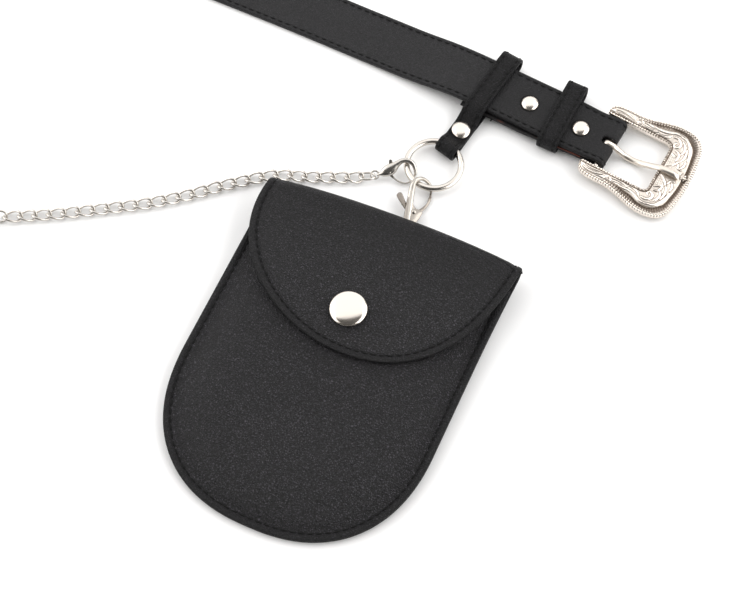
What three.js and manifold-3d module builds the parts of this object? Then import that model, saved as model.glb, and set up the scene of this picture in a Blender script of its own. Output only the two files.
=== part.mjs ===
// A small leather waist bag on a buckled belt: a stiff pouch with a fold-over flap and a snap,
// a trigger hook, an O-ring in a leather hanger, a 25 mm western belt and a curb chain with a lobster clasp.
// Everything lies on a table, the plane z = 0.  Millimetres, +Z up, +Y from the pouch towards the belt.
import * as THREE from 'three';
import { mergeVertices } from 'three/addons/utils/BufferGeometryUtils.js';
import Module from 'manifold-3d';

const wasm = await Module();
wasm.setup();

// ------------------------------------------------ driving dimensions
const LEATHER = 1.4;            // one wall: two thin skins stitched together
const THIN_LEATHER = 1.0;       // the tab under the pouch
const GAP = 0.3;                // running gap between neighbouring pieces

const POUCH = {
  halfWidth: 56, cornerHeight: 58.5, roundness: 2.35,
  seam: 4.5,                    // flat stitched margin round the body
  crown: 5.2,                   // how far the front stands over its margin
  mouth: 133.5, fold: 140.2,    // distances from the bottom edge
  foldBow: 1.8, foldSkew: 1.55,
  flapHalfWidth: 57, flapTip: 77.8, flapShift: 3.5, flapSkew: 2.3, flapRoundness: 2.08,
  flapHeight: 10.1, flapDroop: 2.0,
  lean: 1.2,                    // how far the fold lies to the right of the bottom
  bottomY: -70.5, tilt: THREE.MathUtils.degToRad(1.9),
};
const SNAP = { x: 0.6, v: 96.4, capRadius: 7.8, postRadius: 2.6, studRadius: 1.7, holeRadius: 2.9 };
const BELT = {
  width: 25, foldWidth: 24,     // at the keeper, and round the bar
  spread: 0.9,                  // how much wider the free strap is
  thickness: 2.2, foldThickness: 2.0,
  tailEnd: 66, tailThickness: 0.6, tailShift: 0.9,
  lift: LEATHER + GAP,
};
const HANGER = {
  width: 9.6, x: 10.4, y: 143.5, lean: THREE.MathUtils.degToRad(-9.5), skew: 0.12, rivetAt: -15.6,
};
const KEEPER = {
  width: 9.4, length: 34.9, height: 8.6, x: 45.9, y: 151.95, heading: THREE.MathUtils.degToRad(-3.5),
};
const RING = { x: 3.9, y: 107.2, z: 3.5, radius: 11.75, wire: 1.4 };
const BAR = { x: 69.15, y: 147.4, heading: THREE.MathUtils.degToRad(-6.2), radius: 1.1 };
const BUCKLE = {
  thickness: 3.8, bevel: 0.8, drop: 1.8, tilt: THREE.MathUtils.degToRad(3), prongWidth: 2.8, prongAside: -0.8,
  heading: THREE.MathUtils.degToRad(-5.7),
};
const CHAIN = {
  links: 27, pitch: 6.15, halfLength: 3.95, halfWidth: 2.35, wire: 0.5, twist: Math.PI / 4, z: 1.75,
  endStep: 0.5, endZ: 2.4,      // the untwisted link at each end lies closer and higher
  eyeStep: 3.36,                // from that link's middle to the middle of the clasp's eye
};

// ------------------------------------------------ materials
const finish = (color, roughness, metalness) =>
  new THREE.MeshStandardMaterial({ color, roughness, metalness });
const pebbled = finish(0x2d2d30, 0.55, 0);
const smooth = finish(0x242427, 0.45, 0);
const nickel = finish(0xd8d2c8, 0.22, 1);
const silver = finish(0xcdc8c0, 0.3, 1);

const v3 = (x, y, z) => new THREE.Vector3(x, y, z);
const range = (count, from = 0, to = 1) =>
  Array.from({ length: count }, (_, i) => from + ((to - from) * i) / (count - 1));
const lerp = THREE.MathUtils.lerp;

// ------------------------------------------------ closed bodies from rings of points
/**
 * Skins a row of equal rings.  caps: 'fan' closes round ends, 'strip' closes thin walls, and 'none' joins
 * the last ring to the first.
 */
function skin(rings, caps) {
  const n = rings[0].length;
  const points = rings.flat();
  const faces = [];
  const last = rings.length - 1;
  const rows = caps === 'none' ? rings.length : last;
  for (let r = 0; r < rows; r++) {
    const a = r * n;
    const b = ((r + 1) % rings.length) * n;
    for (let i = 0; i < n; i++) {
      const j = (i + 1) % n;
      faces.push([a + i, a + j, b + j], [a + i, b + j, b + i]);
    }
  }
  const cap = (r, flip) => {
    const a = r * n;
    const add = (p, q, s) => faces.push(flip ? [s, q, p] : [p, q, s]);
    if (caps === 'fan') {
      const centre = rings[r].reduce((sum, p) => sum.add(p), v3(0, 0, 0)).divideScalar(n);
      points.push(centre);
      for (let i = 0; i < n; i++) add(a + ((i + 1) % n), a + i, points.length - 1);
    } else {
      for (let i = 0; i < n / 2 - 1; i++) {
        add(a + i + 1, a + i, a + n - 1 - i);
        add(a + i + 1, a + n - 1 - i, a + n - 2 - i);
      }
    }
  };
  if (caps !== 'none') {
    cap(0, false);
    cap(last, true);
  }
  const geometry = new THREE.BufferGeometry();
  geometry.setAttribute('position', new THREE.Float32BufferAttribute(points.flatMap((p) => p.toArray()), 3));
  geometry.setIndex(faces.flat());
  return faceOutward(geometry);
}

/** Turns every face over where the body's signed volume comes out negative. */
function faceOutward(geometry) {
  const p = geometry.attributes.position;
  const index = geometry.index.array;
  const [a, b, c] = [v3(), v3(), v3()];
  let volume = 0;
  for (let i = 0; i < index.length; i += 3) {
    a.fromBufferAttribute(p, index[i]);
    b.fromBufferAttribute(p, index[i + 1]);
    c.fromBufferAttribute(p, index[i + 2]);
    volume += a.dot(b.cross(c));
  }
  if (volume < 0) {
    for (let i = 0; i < index.length; i += 3) [index[i], index[i + 1]] = [index[i + 1], index[i]];
  }
  return geometry;
}

/** A rod along a curve.  size(t) gives the half-width across and the half-height along up. */
function rod(curve, size, { steps = 16, sides = 8, up = v3(0, 0, 1), closed = false } = {}) {
  const count = closed ? steps : steps + 1;
  const rings = [];
  for (let i = 0; i < count; i++) {
    const t = i / steps;
    const centre = curve.getPoint(t);
    const tangent = curve.getTangent(t);
    const across = v3().crossVectors(up, tangent).normalize();
    const lift = v3().crossVectors(tangent, across).normalize();
    const [w, h] = size(t);
    rings.push(Array.from({ length: sides }, (_, k) => {
      const angle = ((k + 0.5) / sides) * 2 * Math.PI;
      return centre.clone().addScaledVector(across, w * Math.cos(angle))
        .addScaledVector(lift, h * Math.sin(angle));
    }));
  }
  return skin(rings, closed ? 'none' : 'fan');
}

/** Reads a number along t = 0..1 from a short list of evenly spaced values. */
function along(values, t) {
  const s = t * (values.length - 1);
  const i = Math.min(Math.floor(s), values.length - 2);
  return lerp(values[i], values[i + 1], s - i);
}

// ------------------------------------------------ joining and cutting
function toSolid(geometry) {
  let g = geometry.clone();
  g.deleteAttribute('normal');
  g.deleteAttribute('uv');
  g = mergeVertices(g, 1e-4);
  return new wasm.Manifold(new wasm.Mesh({
    numProp: 3,
    vertProperties: new Float32Array(g.attributes.position.array),
    triVerts: new Uint32Array(g.index.array),
  }));
}

function toGeometry(solid) {
  const mesh = solid.getMesh();
  const g = new THREE.BufferGeometry();
  g.setAttribute('position', new THREE.BufferAttribute(new Float32Array(mesh.vertProperties), 3));
  g.setIndex(Array.from(mesh.triVerts));
  return g;
}

const join = (...geometries) => toGeometry(geometries.map(toSolid).reduce((a, b) => a.add(b)));
const cut = (geometry, ...tools) =>
  toGeometry(tools.map(toSolid).reduce((a, b) => a.subtract(b), toSolid(geometry)));

/** A round pin or hole tool along z, from z0 to z1. */
const pin = (x, y, z0, z1, radius, sides = 12) =>
  new THREE.CylinderGeometry(radius, radius, z1 - z0, sides).rotateX(Math.PI / 2)
    .translate(x, y, (z0 + z1) / 2);

const block = (x0, x1, y0, y1, z0, z1) =>
  new THREE.BoxGeometry(x1 - x0, y1 - y0, z1 - z0).translate((x0 + x1) / 2, (y0 + y1) / 2, (z0 + z1) / 2);

/** A flat plate from an outline, centred on z = 0. */
const plate = (shape, thickness, curveSegments = 6) =>
  new THREE.ExtrudeGeometry(shape, { depth: thickness, bevelEnabled: false, curveSegments })
    .translate(0, 0, -thickness / 2);

const outline = (points) => new THREE.Shape(points.map(([x, y]) => new THREE.Vector2(x, y)));

/** Points on an arc about (x, y), from one angle to another in degrees. */
const arc = (x, y, rx, ry, from, to, count) => range(count, from, to).map(THREE.MathUtils.degToRad)
  .map((angle) => [x + rx * Math.cos(angle), y + ry * Math.sin(angle)]);

const ellipse = (x, y, rx, ry, sides) => outline(arc(x, y, rx, ry, 0, 360 - 360 / sides, sides));

/** A leather band seen from the side: an outline in the (y, z) plane, extruded over a width along x. */
function band(shape, width, curveSegments = 4) {
  const g = new THREE.ExtrudeGeometry(shape, { depth: width, bevelEnabled: false, curveSegments });
  const toSide = new THREE.Matrix4().makeBasis(v3(0, 1, 0), v3(0, 0, 1), v3(1, 0, 0));
  return g.applyMatrix4(toSide).translate(-width / 2, 0, 0);
}

// ------------------------------------------------ the scene graph
const bag = new THREE.Group();

function addPiece(parent, name, geometry, material) {
  const mesh = new THREE.Mesh(geometry, material);
  mesh.name = name;
  parent.add(mesh);
  return mesh;
}

// ------------------------------------------------ pouch
// Its own frame: v runs up from the bottom edge, z is the height over the back, and the whole pouch is tilted
// a little because its top edge lies on the trigger hook's tail.
const pouch = new THREE.Group();
pouch.position.set(0, POUCH.bottomY, 0);
pouch.rotation.x = POUCH.tilt;
bag.add(pouch);

const superellipse = (half, height, power, v) =>
  v >= height ? half : half * (1 - ((height - v) / height) ** power) ** (1 / power);

const bodyHalfWidth = (v) => superellipse(POUCH.halfWidth, POUCH.cornerHeight, POUCH.roundness, v);

/** Height of the front over its stitched margin. */
function crown(x, v) {
  const across = Math.abs(x) / (POUCH.halfWidth - POUCH.seam);
  const down = Math.max(0, POUCH.cornerHeight - v) / (POUCH.cornerHeight - POUCH.seam);
  const reach = (across ** POUCH.roundness + down ** POUCH.roundness) ** (1 / POUCH.roundness);
  return reach < 1 ? POUCH.crown * (1 - reach ** 4.5) : 0;
}

/** Top of the flap, and so twice the outer radius of the fold, at a distance x from the middle. */
const flapTop = (x) => POUCH.flapHeight - POUCH.flapDroop * Math.abs(x / POUCH.flapHalfWidth) ** 3;

const foldLine = (x) => {
  const s = x / POUCH.flapHalfWidth;
  return POUCH.fold - POUCH.foldBow * s * s + POUCH.foldSkew * s;
};

/** The pouch leans a little to the right above its round bottom. */
function leaning(geometry) {
  const p = geometry.attributes.position;
  for (let i = 0; i < p.count; i++) {
    const rise = Math.max(0, p.getY(i) - POUCH.cornerHeight) / (POUCH.fold - POUCH.cornerHeight);
    p.setX(i, p.getX(i) + POUCH.lean * rise);
  }
  return geometry;
}

/** One row across a leather wall: the outer points from left to right, then the inner points back. */
const wallRow = (xs, outer, inner) => [...xs.map(outer), ...[...xs].reverse().map(inner)];

const mirrored = (halves) => [...halves.map((x) => -x).reverse(), ...halves.slice(1)];
const CROSS = [0, 0.22, 0.45, 0.66, 0.84, 0.92, 1];      // points of a row, as shares of its half-width

const cornerAngles = [86, 78, 68, 57, 45, 33, 20, 8].map(THREE.MathUtils.degToRad);
const cornerRows = cornerAngles.map((a) =>
  POUCH.cornerHeight * (1 - Math.sin(a) ** (2 / POUCH.roundness)));

function backAndFlap() {
  const rows = [];
  for (const v of [...cornerRows, POUCH.cornerHeight, 90]) {
    const xs = mirrored(CROSS.map((s) => s * bodyHalfWidth(v)));
    rows.push(wallRow(xs, (x) => v3(x, v, 0), (x) => v3(x, v, LEATHER)));
  }
  const foldXs = mirrored(CROSS.map((s) => s * POUCH.flapHalfWidth));
  for (const angle of range(9, -Math.PI / 2, Math.PI / 2)) {
    const around = (r) => (x) => {
      const outer = flapTop(x) / 2;
      const radius = outer - r;
      return v3(x, foldLine(x) + radius * Math.cos(angle), outer + radius * Math.sin(angle));
    };
    rows.push(wallRow(foldXs, around(0), around(LEATHER)));
  }
  for (const angle of range(9, 12, 86).map(THREE.MathUtils.degToRad)) {
    const half = POUCH.flapHalfWidth * Math.cos(angle) ** (2 / POUCH.flapRoundness);
    const share = Math.sin(angle) ** (2 / POUCH.flapRoundness);
    const xs = mirrored(CROSS.map((s) => s * half));
    const aside = POUCH.flapShift * share - POUCH.flapSkew * Math.sin(Math.PI * share ** 0.85);
    const at = (drop) => (x) =>
      v3(x + aside, lerp(foldLine(x), POUCH.flapTip, share), flapTop(x) - drop);
    rows.push(wallRow(xs, at(0), at(LEATHER)));
  }
  return cut(leaning(skin(rows, 'strip')), pin(SNAP.x, SNAP.v, 5, 12, SNAP.holeRadius));
}

function front() {
  const margin = 2 * LEATHER + GAP;
  const rows = [];
  for (const v of [...cornerRows, POUCH.cornerHeight, 78, 97.5, 116, POUCH.mouth]) {
    const half = bodyHalfWidth(v);
    const inside = superellipse(POUCH.halfWidth - POUCH.seam, POUCH.cornerHeight - POUCH.seam,
      POUCH.roundness, Math.max(v - POUCH.seam, 0));
    const seam = Math.max(inside, half / 2);
    const xs = mirrored([...CROSS.slice(0, 5).map((s) => s * seam), seam, half]);
    const top = (x) => v3(x, v, margin + crown(x, v));
    rows.push(wallRow(xs, top, (x) => top(x).setZ(top(x).z - LEATHER)));
  }
  return cut(leaning(skin(rows, 'strip')), pin(SNAP.x, SNAP.v, 5, 12, SNAP.holeRadius));
}

addPiece(pouch, 'pouch_back_and_flap', backAndFlap(), pebbled);
addPiece(pouch, 'pouch_front', front(), pebbled);

// ------------------------------------------------ snap fastener
const lathe = (points, segments = 14) =>
  new THREE.LatheGeometry(points.map(([r, z]) => new THREE.Vector2(r, z)), segments).rotateX(Math.PI / 2);

function snapCap() {
  const top = POUCH.flapHeight;
  const { capRadius: r, postRadius: post } = SNAP;
  const socket = SNAP.studRadius + GAP;
  return lathe([
    [0, top + 0.8], [socket, top + 0.8], [socket, top - 1.1], [post, top - 1.1], [post, top + 0.05],
    [r - 0.2, top + 0.05], [r, top + 0.5], [r * 0.9, top + 1.5], [r * 0.62, top + 2.4], [r * 0.3, top + 2.75],
    [0, top + 2.85],
  ], 20);
}

function snapStud() {
  const inside = LEATHER + GAP + POUCH.crown;
  const top = POUCH.flapHeight;
  const r = SNAP.studRadius;
  return lathe([
    [0, inside - 1.0], [5, inside - 1.0], [5, inside - 0.4], [r, inside - 0.4], [r * 0.85, top - 0.4],
    [r, top], [r * 0.7, top + 0.45], [0, top + 0.5],
  ]);
}

addPiece(pouch, 'snap_cap', snapCap(), nickel).position.set(SNAP.x, SNAP.v, 0);
addPiece(pouch, 'snap_stud', snapStud(), nickel).position.set(SNAP.x, SNAP.v, 0);

// ------------------------------------------------ tab under the pouch, round the hook's eye
const TAB = { width: 8.4, from: 105, bar: 135.5, barZ: -2.35, barRadius: 0.72, loopRadius: 2.05 };

function tab() {
  const { from, bar, barZ, loopRadius: r } = TAB;
  const top = -GAP;
  const bottom = top - 2 * THIN_LEATHER;
  const shape = outline([
    [from, bottom], [bar - 4.5, bottom], ...arc(bar, barZ, r, r, -126, 100, 9), [bar - 3.5, top], [from, top],
  ]);
  shape.holes.push(ellipse(bar, barZ, r - THIN_LEATHER, r - THIN_LEATHER, 12));
  return band(shape, TAB.width);
}
addPiece(pouch, 'pouch_tab', tab(), smooth).position.set(7.9, 0, 0);

// ------------------------------------------------ trigger hook between the pouch and the O-ring
// Its own frame: +X along the hook towards the bow, +Y across towards the spine, z over the table.
const hook = new THREE.Group();
hook.position.set(4.3, 84, 0);
hook.rotation.z = THREE.MathUtils.degToRad(102.4);
bag.add(hook);

const HOOK = { plateTilt: THREE.MathUtils.degToRad(15), plateZ: 4.2, thickness: 2.0, pivot: [-2.3, -0.5] };

const spinePoints = [
  { x: -7.0, y: 1.4, z: 4.6 },
  { x: -1.5, y: 1.7, z: 4.8 },
  { x: 3.5, y: 2.0, z: 5.0 },
  { x: 7.5, y: 2.2, z: 5.5 },
  { x: 10.2, y: 2.1, z: 6.15 },
  { x: 12.2, y: 1.3, z: 6.3 },
  { x: 13.8, y: -0.3, z: 5.5 },
  { x: 14.5, y: -2.0, z: 3.9 },
  { x: 14.3, y: -3.6, z: 2.3 },
  { x: 13.5, y: -4.8, z: 1.2 },
  { x: 12.7, y: -5.4, z: 0.95 },
];

/** Stands a flat plate, drawn in the hook's own frame, on the hook's tilted plane. */
function onHookPlane(geometry, offset) {
  return geometry.translate(0, 0, offset).rotateX(HOOK.plateTilt).translate(0, 0, HOOK.plateZ);
}

function hookBody() {
  const spine = rod(new THREE.CatmullRomCurve3(spinePoints.map((p) => v3(p.x, p.y, p.z))),
    (t) => {
      const w = along([1.5, 1.5, 1.35, 1.1, 0.85, 0.8, 0.8, 0.75], t);
      return [w, Math.min(w, 1.0)];
    }, { steps: 18, sides: 7 });
  const body = outline([
    [4.6, 3.2], [-6, 3.1], [-9.6, 1.5], [-9.6, -1.1], [-5.4, -3.0], [-1.6, -4.4], [-0.5, -3.3], [-0.3, -0.9],
    [2.2, 1.0], [4.6, 1.4],
  ]);
  const pivotPin = pin(...HOOK.pivot, -2.3, 0, 0.7);
  const neck = rod(new THREE.CatmullRomCurve3([v3(-8.6, 0.2, 4.1), v3(-10.4, 0.2, 3.6), v3(-12.4, 0.1, 2.3)]),
    () => [1.2, 0.9], { steps: 4 });
  const loop = rod(new THREE.CatmullRomCurve3(
    [[3.4, 4.4], [3.6, 0], [3.4, -4.4], [2.6, -5.3], [-2.6, -5.3], [-3.5, -4.4], [-3.5, 4.4], [-2.6, 5.3],
      [2.6, 5.3]].map(([x, y]) => v3(x, y, 0)), true, 'catmullrom', 0.2),
  () => [TAB.barRadius, TAB.barRadius], { steps: 22, sides: 6, closed: true });
  return join(spine, onHookPlane(plate(body, HOOK.thickness), 0), onHookPlane(pivotPin, 0), neck,
    loop.rotateZ(THREE.MathUtils.degToRad(-12.4)).translate(-15.9, -0.2, 2.3));
}

function hookLever() {
  const z = -HOOK.thickness / 2 - GAP - 0.4;
  const arm = plate(outline([
    [-3.9, -1.0], [-3.2, -2.2], [-1.0, -3.4], [1.2, -5.0], [4.6, -6.6], [8.2, -7.0], [8.2, -6.0], [5.0, -5.6],
    [2.0, -3.9], [0.4, -2.2], [0.0, 0.2], [2.2, 3.4], [5.4, 6.4], [4.3, 7.6], [1.4, 5.4], [-2.6, 1.4],
    [-3.8, 0.4],
  ]), 0.8);
  const nose = rod(new THREE.LineCurve3(v3(7.6, -6.5, 0), v3(11.2, -6.3, 0)), () => [0.45, 0.4],
    { steps: 1 });
  const lever = cut(join(arm, nose), pin(...HOOK.pivot, -2, 2, 1.0));
  return onHookPlane(lever, z);
}

addPiece(hook, 'pouch_hook_body', hookBody(), nickel);
addPiece(hook, 'pouch_hook_lever', hookLever(), nickel);

// ------------------------------------------------ O-ring
const ringGeometry = new THREE.TorusGeometry(RING.radius, RING.wire, 8, 32);
addPiece(bag, 'o_ring', ringGeometry, nickel).position.set(RING.x, RING.y, RING.z);

// ------------------------------------------------ lobster clasp, shared by both chain ends
// Its own frame: origin in the middle of the eye, +X towards the bow, +Y towards the spine.
const LOBSTER = {
  z: 2.9, tilt: THREE.MathUtils.degToRad(34), pivot: [6.2, 1.1], eyeRadius: 1.75, eyeWire: 0.35, slot: 1.1,
};

const lobsterSpine = [
  { x: 2.0, y: 0.2, across: 0.7, thick: 0.7 },
  { x: 4.2, y: 1.1, across: 2.1, thick: 1.4 },
  { x: 7.0, y: 2.5, across: 2.5, thick: 1.5 },
  { x: 9.6, y: 4.6, across: 1.5, thick: 1.3 },
  { x: 11.7, y: 5.9, across: 1.1, thick: 1.1 },
  { x: 14.0, y: 6.1, across: 1.05, thick: 1.0 },
  { x: 16.2, y: 4.9, across: 1.0, thick: 0.9 },
  { x: 17.3, y: 2.7, across: 0.85, thick: 0.8 },
  { x: 17.5, y: 0.6, across: 0.65, thick: 0.65 },
  { x: 17.1, y: -0.7, across: 0.45, thick: 0.45 },
];

function lobsterBody(withSlot) {
  const curve = new THREE.CatmullRomCurve3(lobsterSpine.map((p) => v3(p.x, p.y, 0)));
  const spine = rod(curve, (t) => [along(lobsterSpine.map((p) => p.across), t),
    along(lobsterSpine.map((p) => p.thick), t)], { steps: 15, sides: 7 });
  const eye = new THREE.TorusGeometry(LOBSTER.eyeRadius, LOBSTER.eyeWire, 5, 14);
  const half = LOBSTER.slot / 2;
  let body = join(spine, eye);
  if (withSlot) body = cut(body, block(4.7, 9.2, -3, 7.5, -half, half));
  return join(body, pin(...LOBSTER.pivot, -1.2, 1.2, 0.5, 8));
}

function lobsterLever() {
  const blade = plate(outline([
    [5.2, 0.4], [6.2, -0.3], [8.0, -1.8], [8.6, -1.2], [7.2, 0.6], [7.3, 2.6], [7.7, 5.6], [6.9, 6.6],
    [6.1, 6.2], [5.9, 3.2], [5.1, 1.7],
  ]), 0.5);
  const gate = rod(new THREE.CatmullRomCurve3([v3(7.9, -1.3, 0), v3(10.4, -3.0, 0), v3(13.2, -3.7, 0),
    v3(15.9, -2.8, 0)]), (t) => [0.38, along([0.3, 0.5, 0.45, 0.35], t)], { steps: 6, sides: 6 });
  return cut(join(blade, gate), pin(...LOBSTER.pivot, -2, 2, 0.8));
}

const chainClasp = new THREE.Group();
chainClasp.position.set(-17.5, 92.6, LOBSTER.z);
chainClasp.rotation.order = 'ZXY';
chainClasp.rotation.set(LOBSTER.tilt, 0, THREE.MathUtils.degToRad(24.4));
bag.add(chainClasp);
addPiece(chainClasp, 'chain_clasp_body', lobsterBody(true), nickel);
addPiece(chainClasp, 'chain_clasp_lever', lobsterLever(), nickel);

// ------------------------------------------------ curb chain
/** The middle line of one link, twisted about the chain's run. */
class LinkCurve extends THREE.Curve {
  constructor(halfLength, halfWidth, twist) {
    super();
    Object.assign(this, { halfLength, halfWidth, twist });
  }
  getPoint(t) {
    const flat = (s) => Math.sign(s) * Math.abs(s) ** (2 / 2.3);
    const u = flat(Math.cos(2 * Math.PI * t));
    const w = this.halfWidth * flat(Math.sin(2 * Math.PI * t));
    const angle = this.twist * u;
    return v3(this.halfLength * u, w * Math.cos(angle), w * Math.sin(angle));
  }
}

const link = (halfLength, halfWidth, twist, wire) =>
  rod(new LinkCurve(halfLength, halfWidth, twist), () => [wire, wire], { steps: 14, sides: 5, closed: true });

const chainRoute = new THREE.CatmullRomCurve3([
  [-20.4, 90.9], [-26.7, 87.9], [-32.6, 85.3], [-44.4, 80.4], [-50.4, 78.4], [-56.8, 75.6], [-62.6, 71.9],
  [-69.5, 66.5], [-75.7, 61.5], [-86.7, 51.8], [-101.3, 40.8], [-117.6, 30.6], [-134, 20.7], [-150.5, 11.9],
  [-162, 5.8], [-186, -7],
].map(([x, y]) => v3(x, y, CHAIN.z)));

const routeLength = chainRoute.getLength();

function addLink(number, geometry, distance, roll, z) {
  const t = distance / routeLength;
  const place = chainRoute.getPointAt(t);
  const run = chainRoute.getTangentAt(t);
  const piece = addPiece(bag, `chain_link_${String(number).padStart(2, '0')}`, geometry, nickel);
  piece.position.set(place.x, place.y, z);
  piece.rotation.order = 'ZXY';
  piece.rotation.set(roll, 0, Math.atan2(-run.y, -run.x));
}

const endLink = () => link(3.3, 2.5, 0, 0.45);
const firstRoll = THREE.MathUtils.degToRad(-25);
const lastRoll = THREE.MathUtils.degToRad(50);
const lastAt = (CHAIN.links - 1) * CHAIN.pitch - 2 * CHAIN.endStep;
addLink(1, endLink(), 0, firstRoll, CHAIN.endZ);
for (let i = 2; i < CHAIN.links; i++) {
  const middle = link(CHAIN.halfLength, CHAIN.halfWidth, CHAIN.twist, CHAIN.wire);
  addLink(i, middle, (i - 1) * CHAIN.pitch - CHAIN.endStep, 0, CHAIN.z);
}
addLink(CHAIN.links, endLink(), lastAt, lastRoll, CHAIN.endZ);

const eyeAt = (lastAt + CHAIN.eyeStep) / routeLength;
const endPlace = chainRoute.getPointAt(eyeAt);
const endRun = chainRoute.getTangentAt(eyeAt);
const endClasp = new THREE.Group();
endClasp.position.set(endPlace.x, endPlace.y, LOBSTER.z);
endClasp.rotation.order = 'ZXY';
endClasp.rotation.set(LOBSTER.tilt, 0, Math.atan2(endRun.y, endRun.x));
bag.add(endClasp);
addPiece(endClasp, 'chain_end_clasp', join(lobsterBody(false), lobsterLever()), nickel);

// ------------------------------------------------ belt
// The strap's middle line follows a few headings; distances are measured back from the buckle's bar.
const strapHeadings = [
  { back: 0, heading: -6.2 }, { back: 30, heading: -5.6 }, { back: 52, heading: -5.6 },
  { back: 92, heading: -4.2 }, { back: 130, heading: -2.8 }, { back: 160, heading: -1.5 },
  { back: 240, heading: -0.6 },
];

function strapHeading(back) {
  const i = Math.max(1, strapHeadings.findIndex((row) => row.back >= back));
  const [a, b] = [strapHeadings[i - 1], strapHeadings[i]];
  return THREE.MathUtils.degToRad(lerp(a.heading, b.heading, (back - a.back) / (b.back - a.back)));
}

/** Middle of the strap and its direction, at a distance back from the bar. */
function strapAt(back) {
  const step = 2;
  const place = v3(BAR.x, BAR.y, 0);
  for (let s = 0; s < back; s += step) {
    const piece = Math.min(step, back - s);
    const h = strapHeading(s + piece / 2);
    place.x -= piece * Math.cos(h);
    place.y -= piece * Math.sin(h);
  }
  return { place, heading: strapHeading(back) };
}

/** Height of the strap's underside: it lies on the table, and rises over its own tail and the hanger. */
function strapLift(back) {
  const overHanger = BELT.lift * (1 - THREE.MathUtils.smoothstep(back, 74, 132));
  const overTail = (BELT.thickness + GAP + 0.1) * (1 - THREE.MathUtils.smoothstep(back, BELT.tailEnd, 100));
  return overHanger + overTail;
}

/** The strap narrows to the buckle's bar, and its free stretch is a little wider. */
const strapHalfWidth = (back) => (BELT.foldWidth
  + (BELT.width - BELT.foldWidth) * THREE.MathUtils.smoothstep(back, 6, 24)
  + BELT.spread * THREE.MathUtils.smoothstep(back, 66, 88)) / 2;

const barZ = BELT.lift + BELT.thickness + GAP / 2;

/** One section of the strap: four corners of a flat bar. */
function strapSection(centre, heading, normal, halfWidth, thickness) {
  const across = v3(-Math.sin(heading), Math.cos(heading), 0).multiplyScalar(halfWidth);
  const n = normal.clone().multiplyScalar(thickness / 2);
  return [centre.clone().add(across).add(n), centre.clone().sub(across).add(n),
    centre.clone().sub(across).sub(n), centre.clone().add(across).sub(n)];
}

/** Sections of the upper strap at some distances back from the bar. */
const upperRows = (backs, share = () => 1) => backs.map((back) => {
  const { place, heading } = strapAt(back);
  place.z = strapLift(back) + BELT.thickness / 2;
  return strapSection(place, heading, v3(0, 0, 1), strapHalfWidth(back) * share(back), BELT.thickness);
});

const TIP = { from: 206, end: 222 };
const STRAP_SPLIT = 70;         // the strap's free stretch and its doubled end are two bodies that meet here

/** The free stretch, with its pointed end. */
function freeStrap() {
  const pointed = (back) =>
    Math.sqrt(Math.max(0.01, 1 - (Math.max(0, back - TIP.from) / (TIP.end - TIP.from + 0.1)) ** 2));
  const tip = [TIP.end, 219.5, 214, TIP.from];
  return skin(upperRows([...tip, 170, 135, 122, 110, 100, 94, 87, 82, 78, 74, STRAP_SPLIT], pointed), 'fan');
}

/** The doubled end: up to the bar, round it, and back underneath to a thinned tail. */
function doubledStrap() {
  const rows = upperRows([STRAP_SPLIT, BELT.tailEnd, 45, 24, 15, 8]);
  const { place: bar, heading } = strapAt(0);
  const forward = v3(Math.cos(heading), Math.sin(heading), 0);
  const up = v3(0, 0, 1);
  const reach = BAR.radius + GAP + BELT.foldThickness / 2;
  for (const angle of range(7, 84, -84).map(THREE.MathUtils.degToRad)) {
    const normal = forward.clone().multiplyScalar(Math.cos(angle)).addScaledVector(up, Math.sin(angle));
    rows.push(strapSection(bar.clone().setZ(barZ).addScaledVector(normal, reach), heading, normal,
      BELT.foldWidth / 2, BELT.foldThickness));
  }
  const tail = [
    { back: 8, thickness: BELT.thickness, shift: 0 },
    { back: 26, thickness: BELT.thickness, shift: 0.2 },
    { back: 36, thickness: BELT.thickness, shift: BELT.tailShift },
    { back: BELT.tailEnd - 6, thickness: BELT.thickness, shift: BELT.tailShift },
    { back: BELT.tailEnd, thickness: BELT.tailThickness, shift: BELT.tailShift },
  ];
  for (const { back, thickness, shift } of tail) {
    const { place, heading: h } = strapAt(back);
    place.add(v3(Math.sin(h), -Math.cos(h), 0).multiplyScalar(shift)).setZ(BELT.lift + thickness / 2);
    rows.push(strapSection(place, h, v3(0, 0, -1), strapHalfWidth(back), thickness));
  }
  return skin(rows, 'fan');
}

/** Rivet: a domed head, a shank and a flat washer below. */
const rivet = (top, bottom) => lathe([
  [0, bottom - 0.5], [3.0, bottom - 0.5], [3.0, bottom], [1.3, bottom], [1.3, top], [3.75, top],
  [3.7, top + 0.5], [2.9, top + 1.1], [1.5, top + 1.5], [0, top + 1.6],
], 14);

const prongSlot = block(-3.5, 9, -2.1, 2.1, -3.2, 6).translate(0, BUCKLE.prongAside, 0)
  .rotateZ(BAR.heading).translate(BAR.x, BAR.y, barZ);
const beltRivets = [{ back: 13.5, across: -0.6 }, { back: 38.5, across: -0.3 }].map(({ back, across }) => {
  const { place, heading } = strapAt(back);
  return place.add(v3(-Math.sin(heading), Math.cos(heading), 0).multiplyScalar(across));
});
const tipHoles = [176, 198].map((back) => strapAt(back).place);
addPiece(bag, 'belt_strap', cut(freeStrap(), ...tipHoles.map((p) => pin(p.x, p.y, -1, 12, 2, 10))), smooth);
addPiece(bag, 'belt_buckle_end', cut(doubledStrap(), prongSlot,
  ...beltRivets.map((p) => pin(p.x, p.y, -1, 12, 1.6, 8))), smooth);
const doubledTop = strapLift(0) + BELT.thickness;
beltRivets.forEach((place, i) => {
  const piece = addPiece(bag, `belt_rivet_${i + 1}`, rivet(doubledTop + 0.05, BELT.lift), nickel);
  piece.position.set(place.x, place.y, 0);
});

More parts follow.
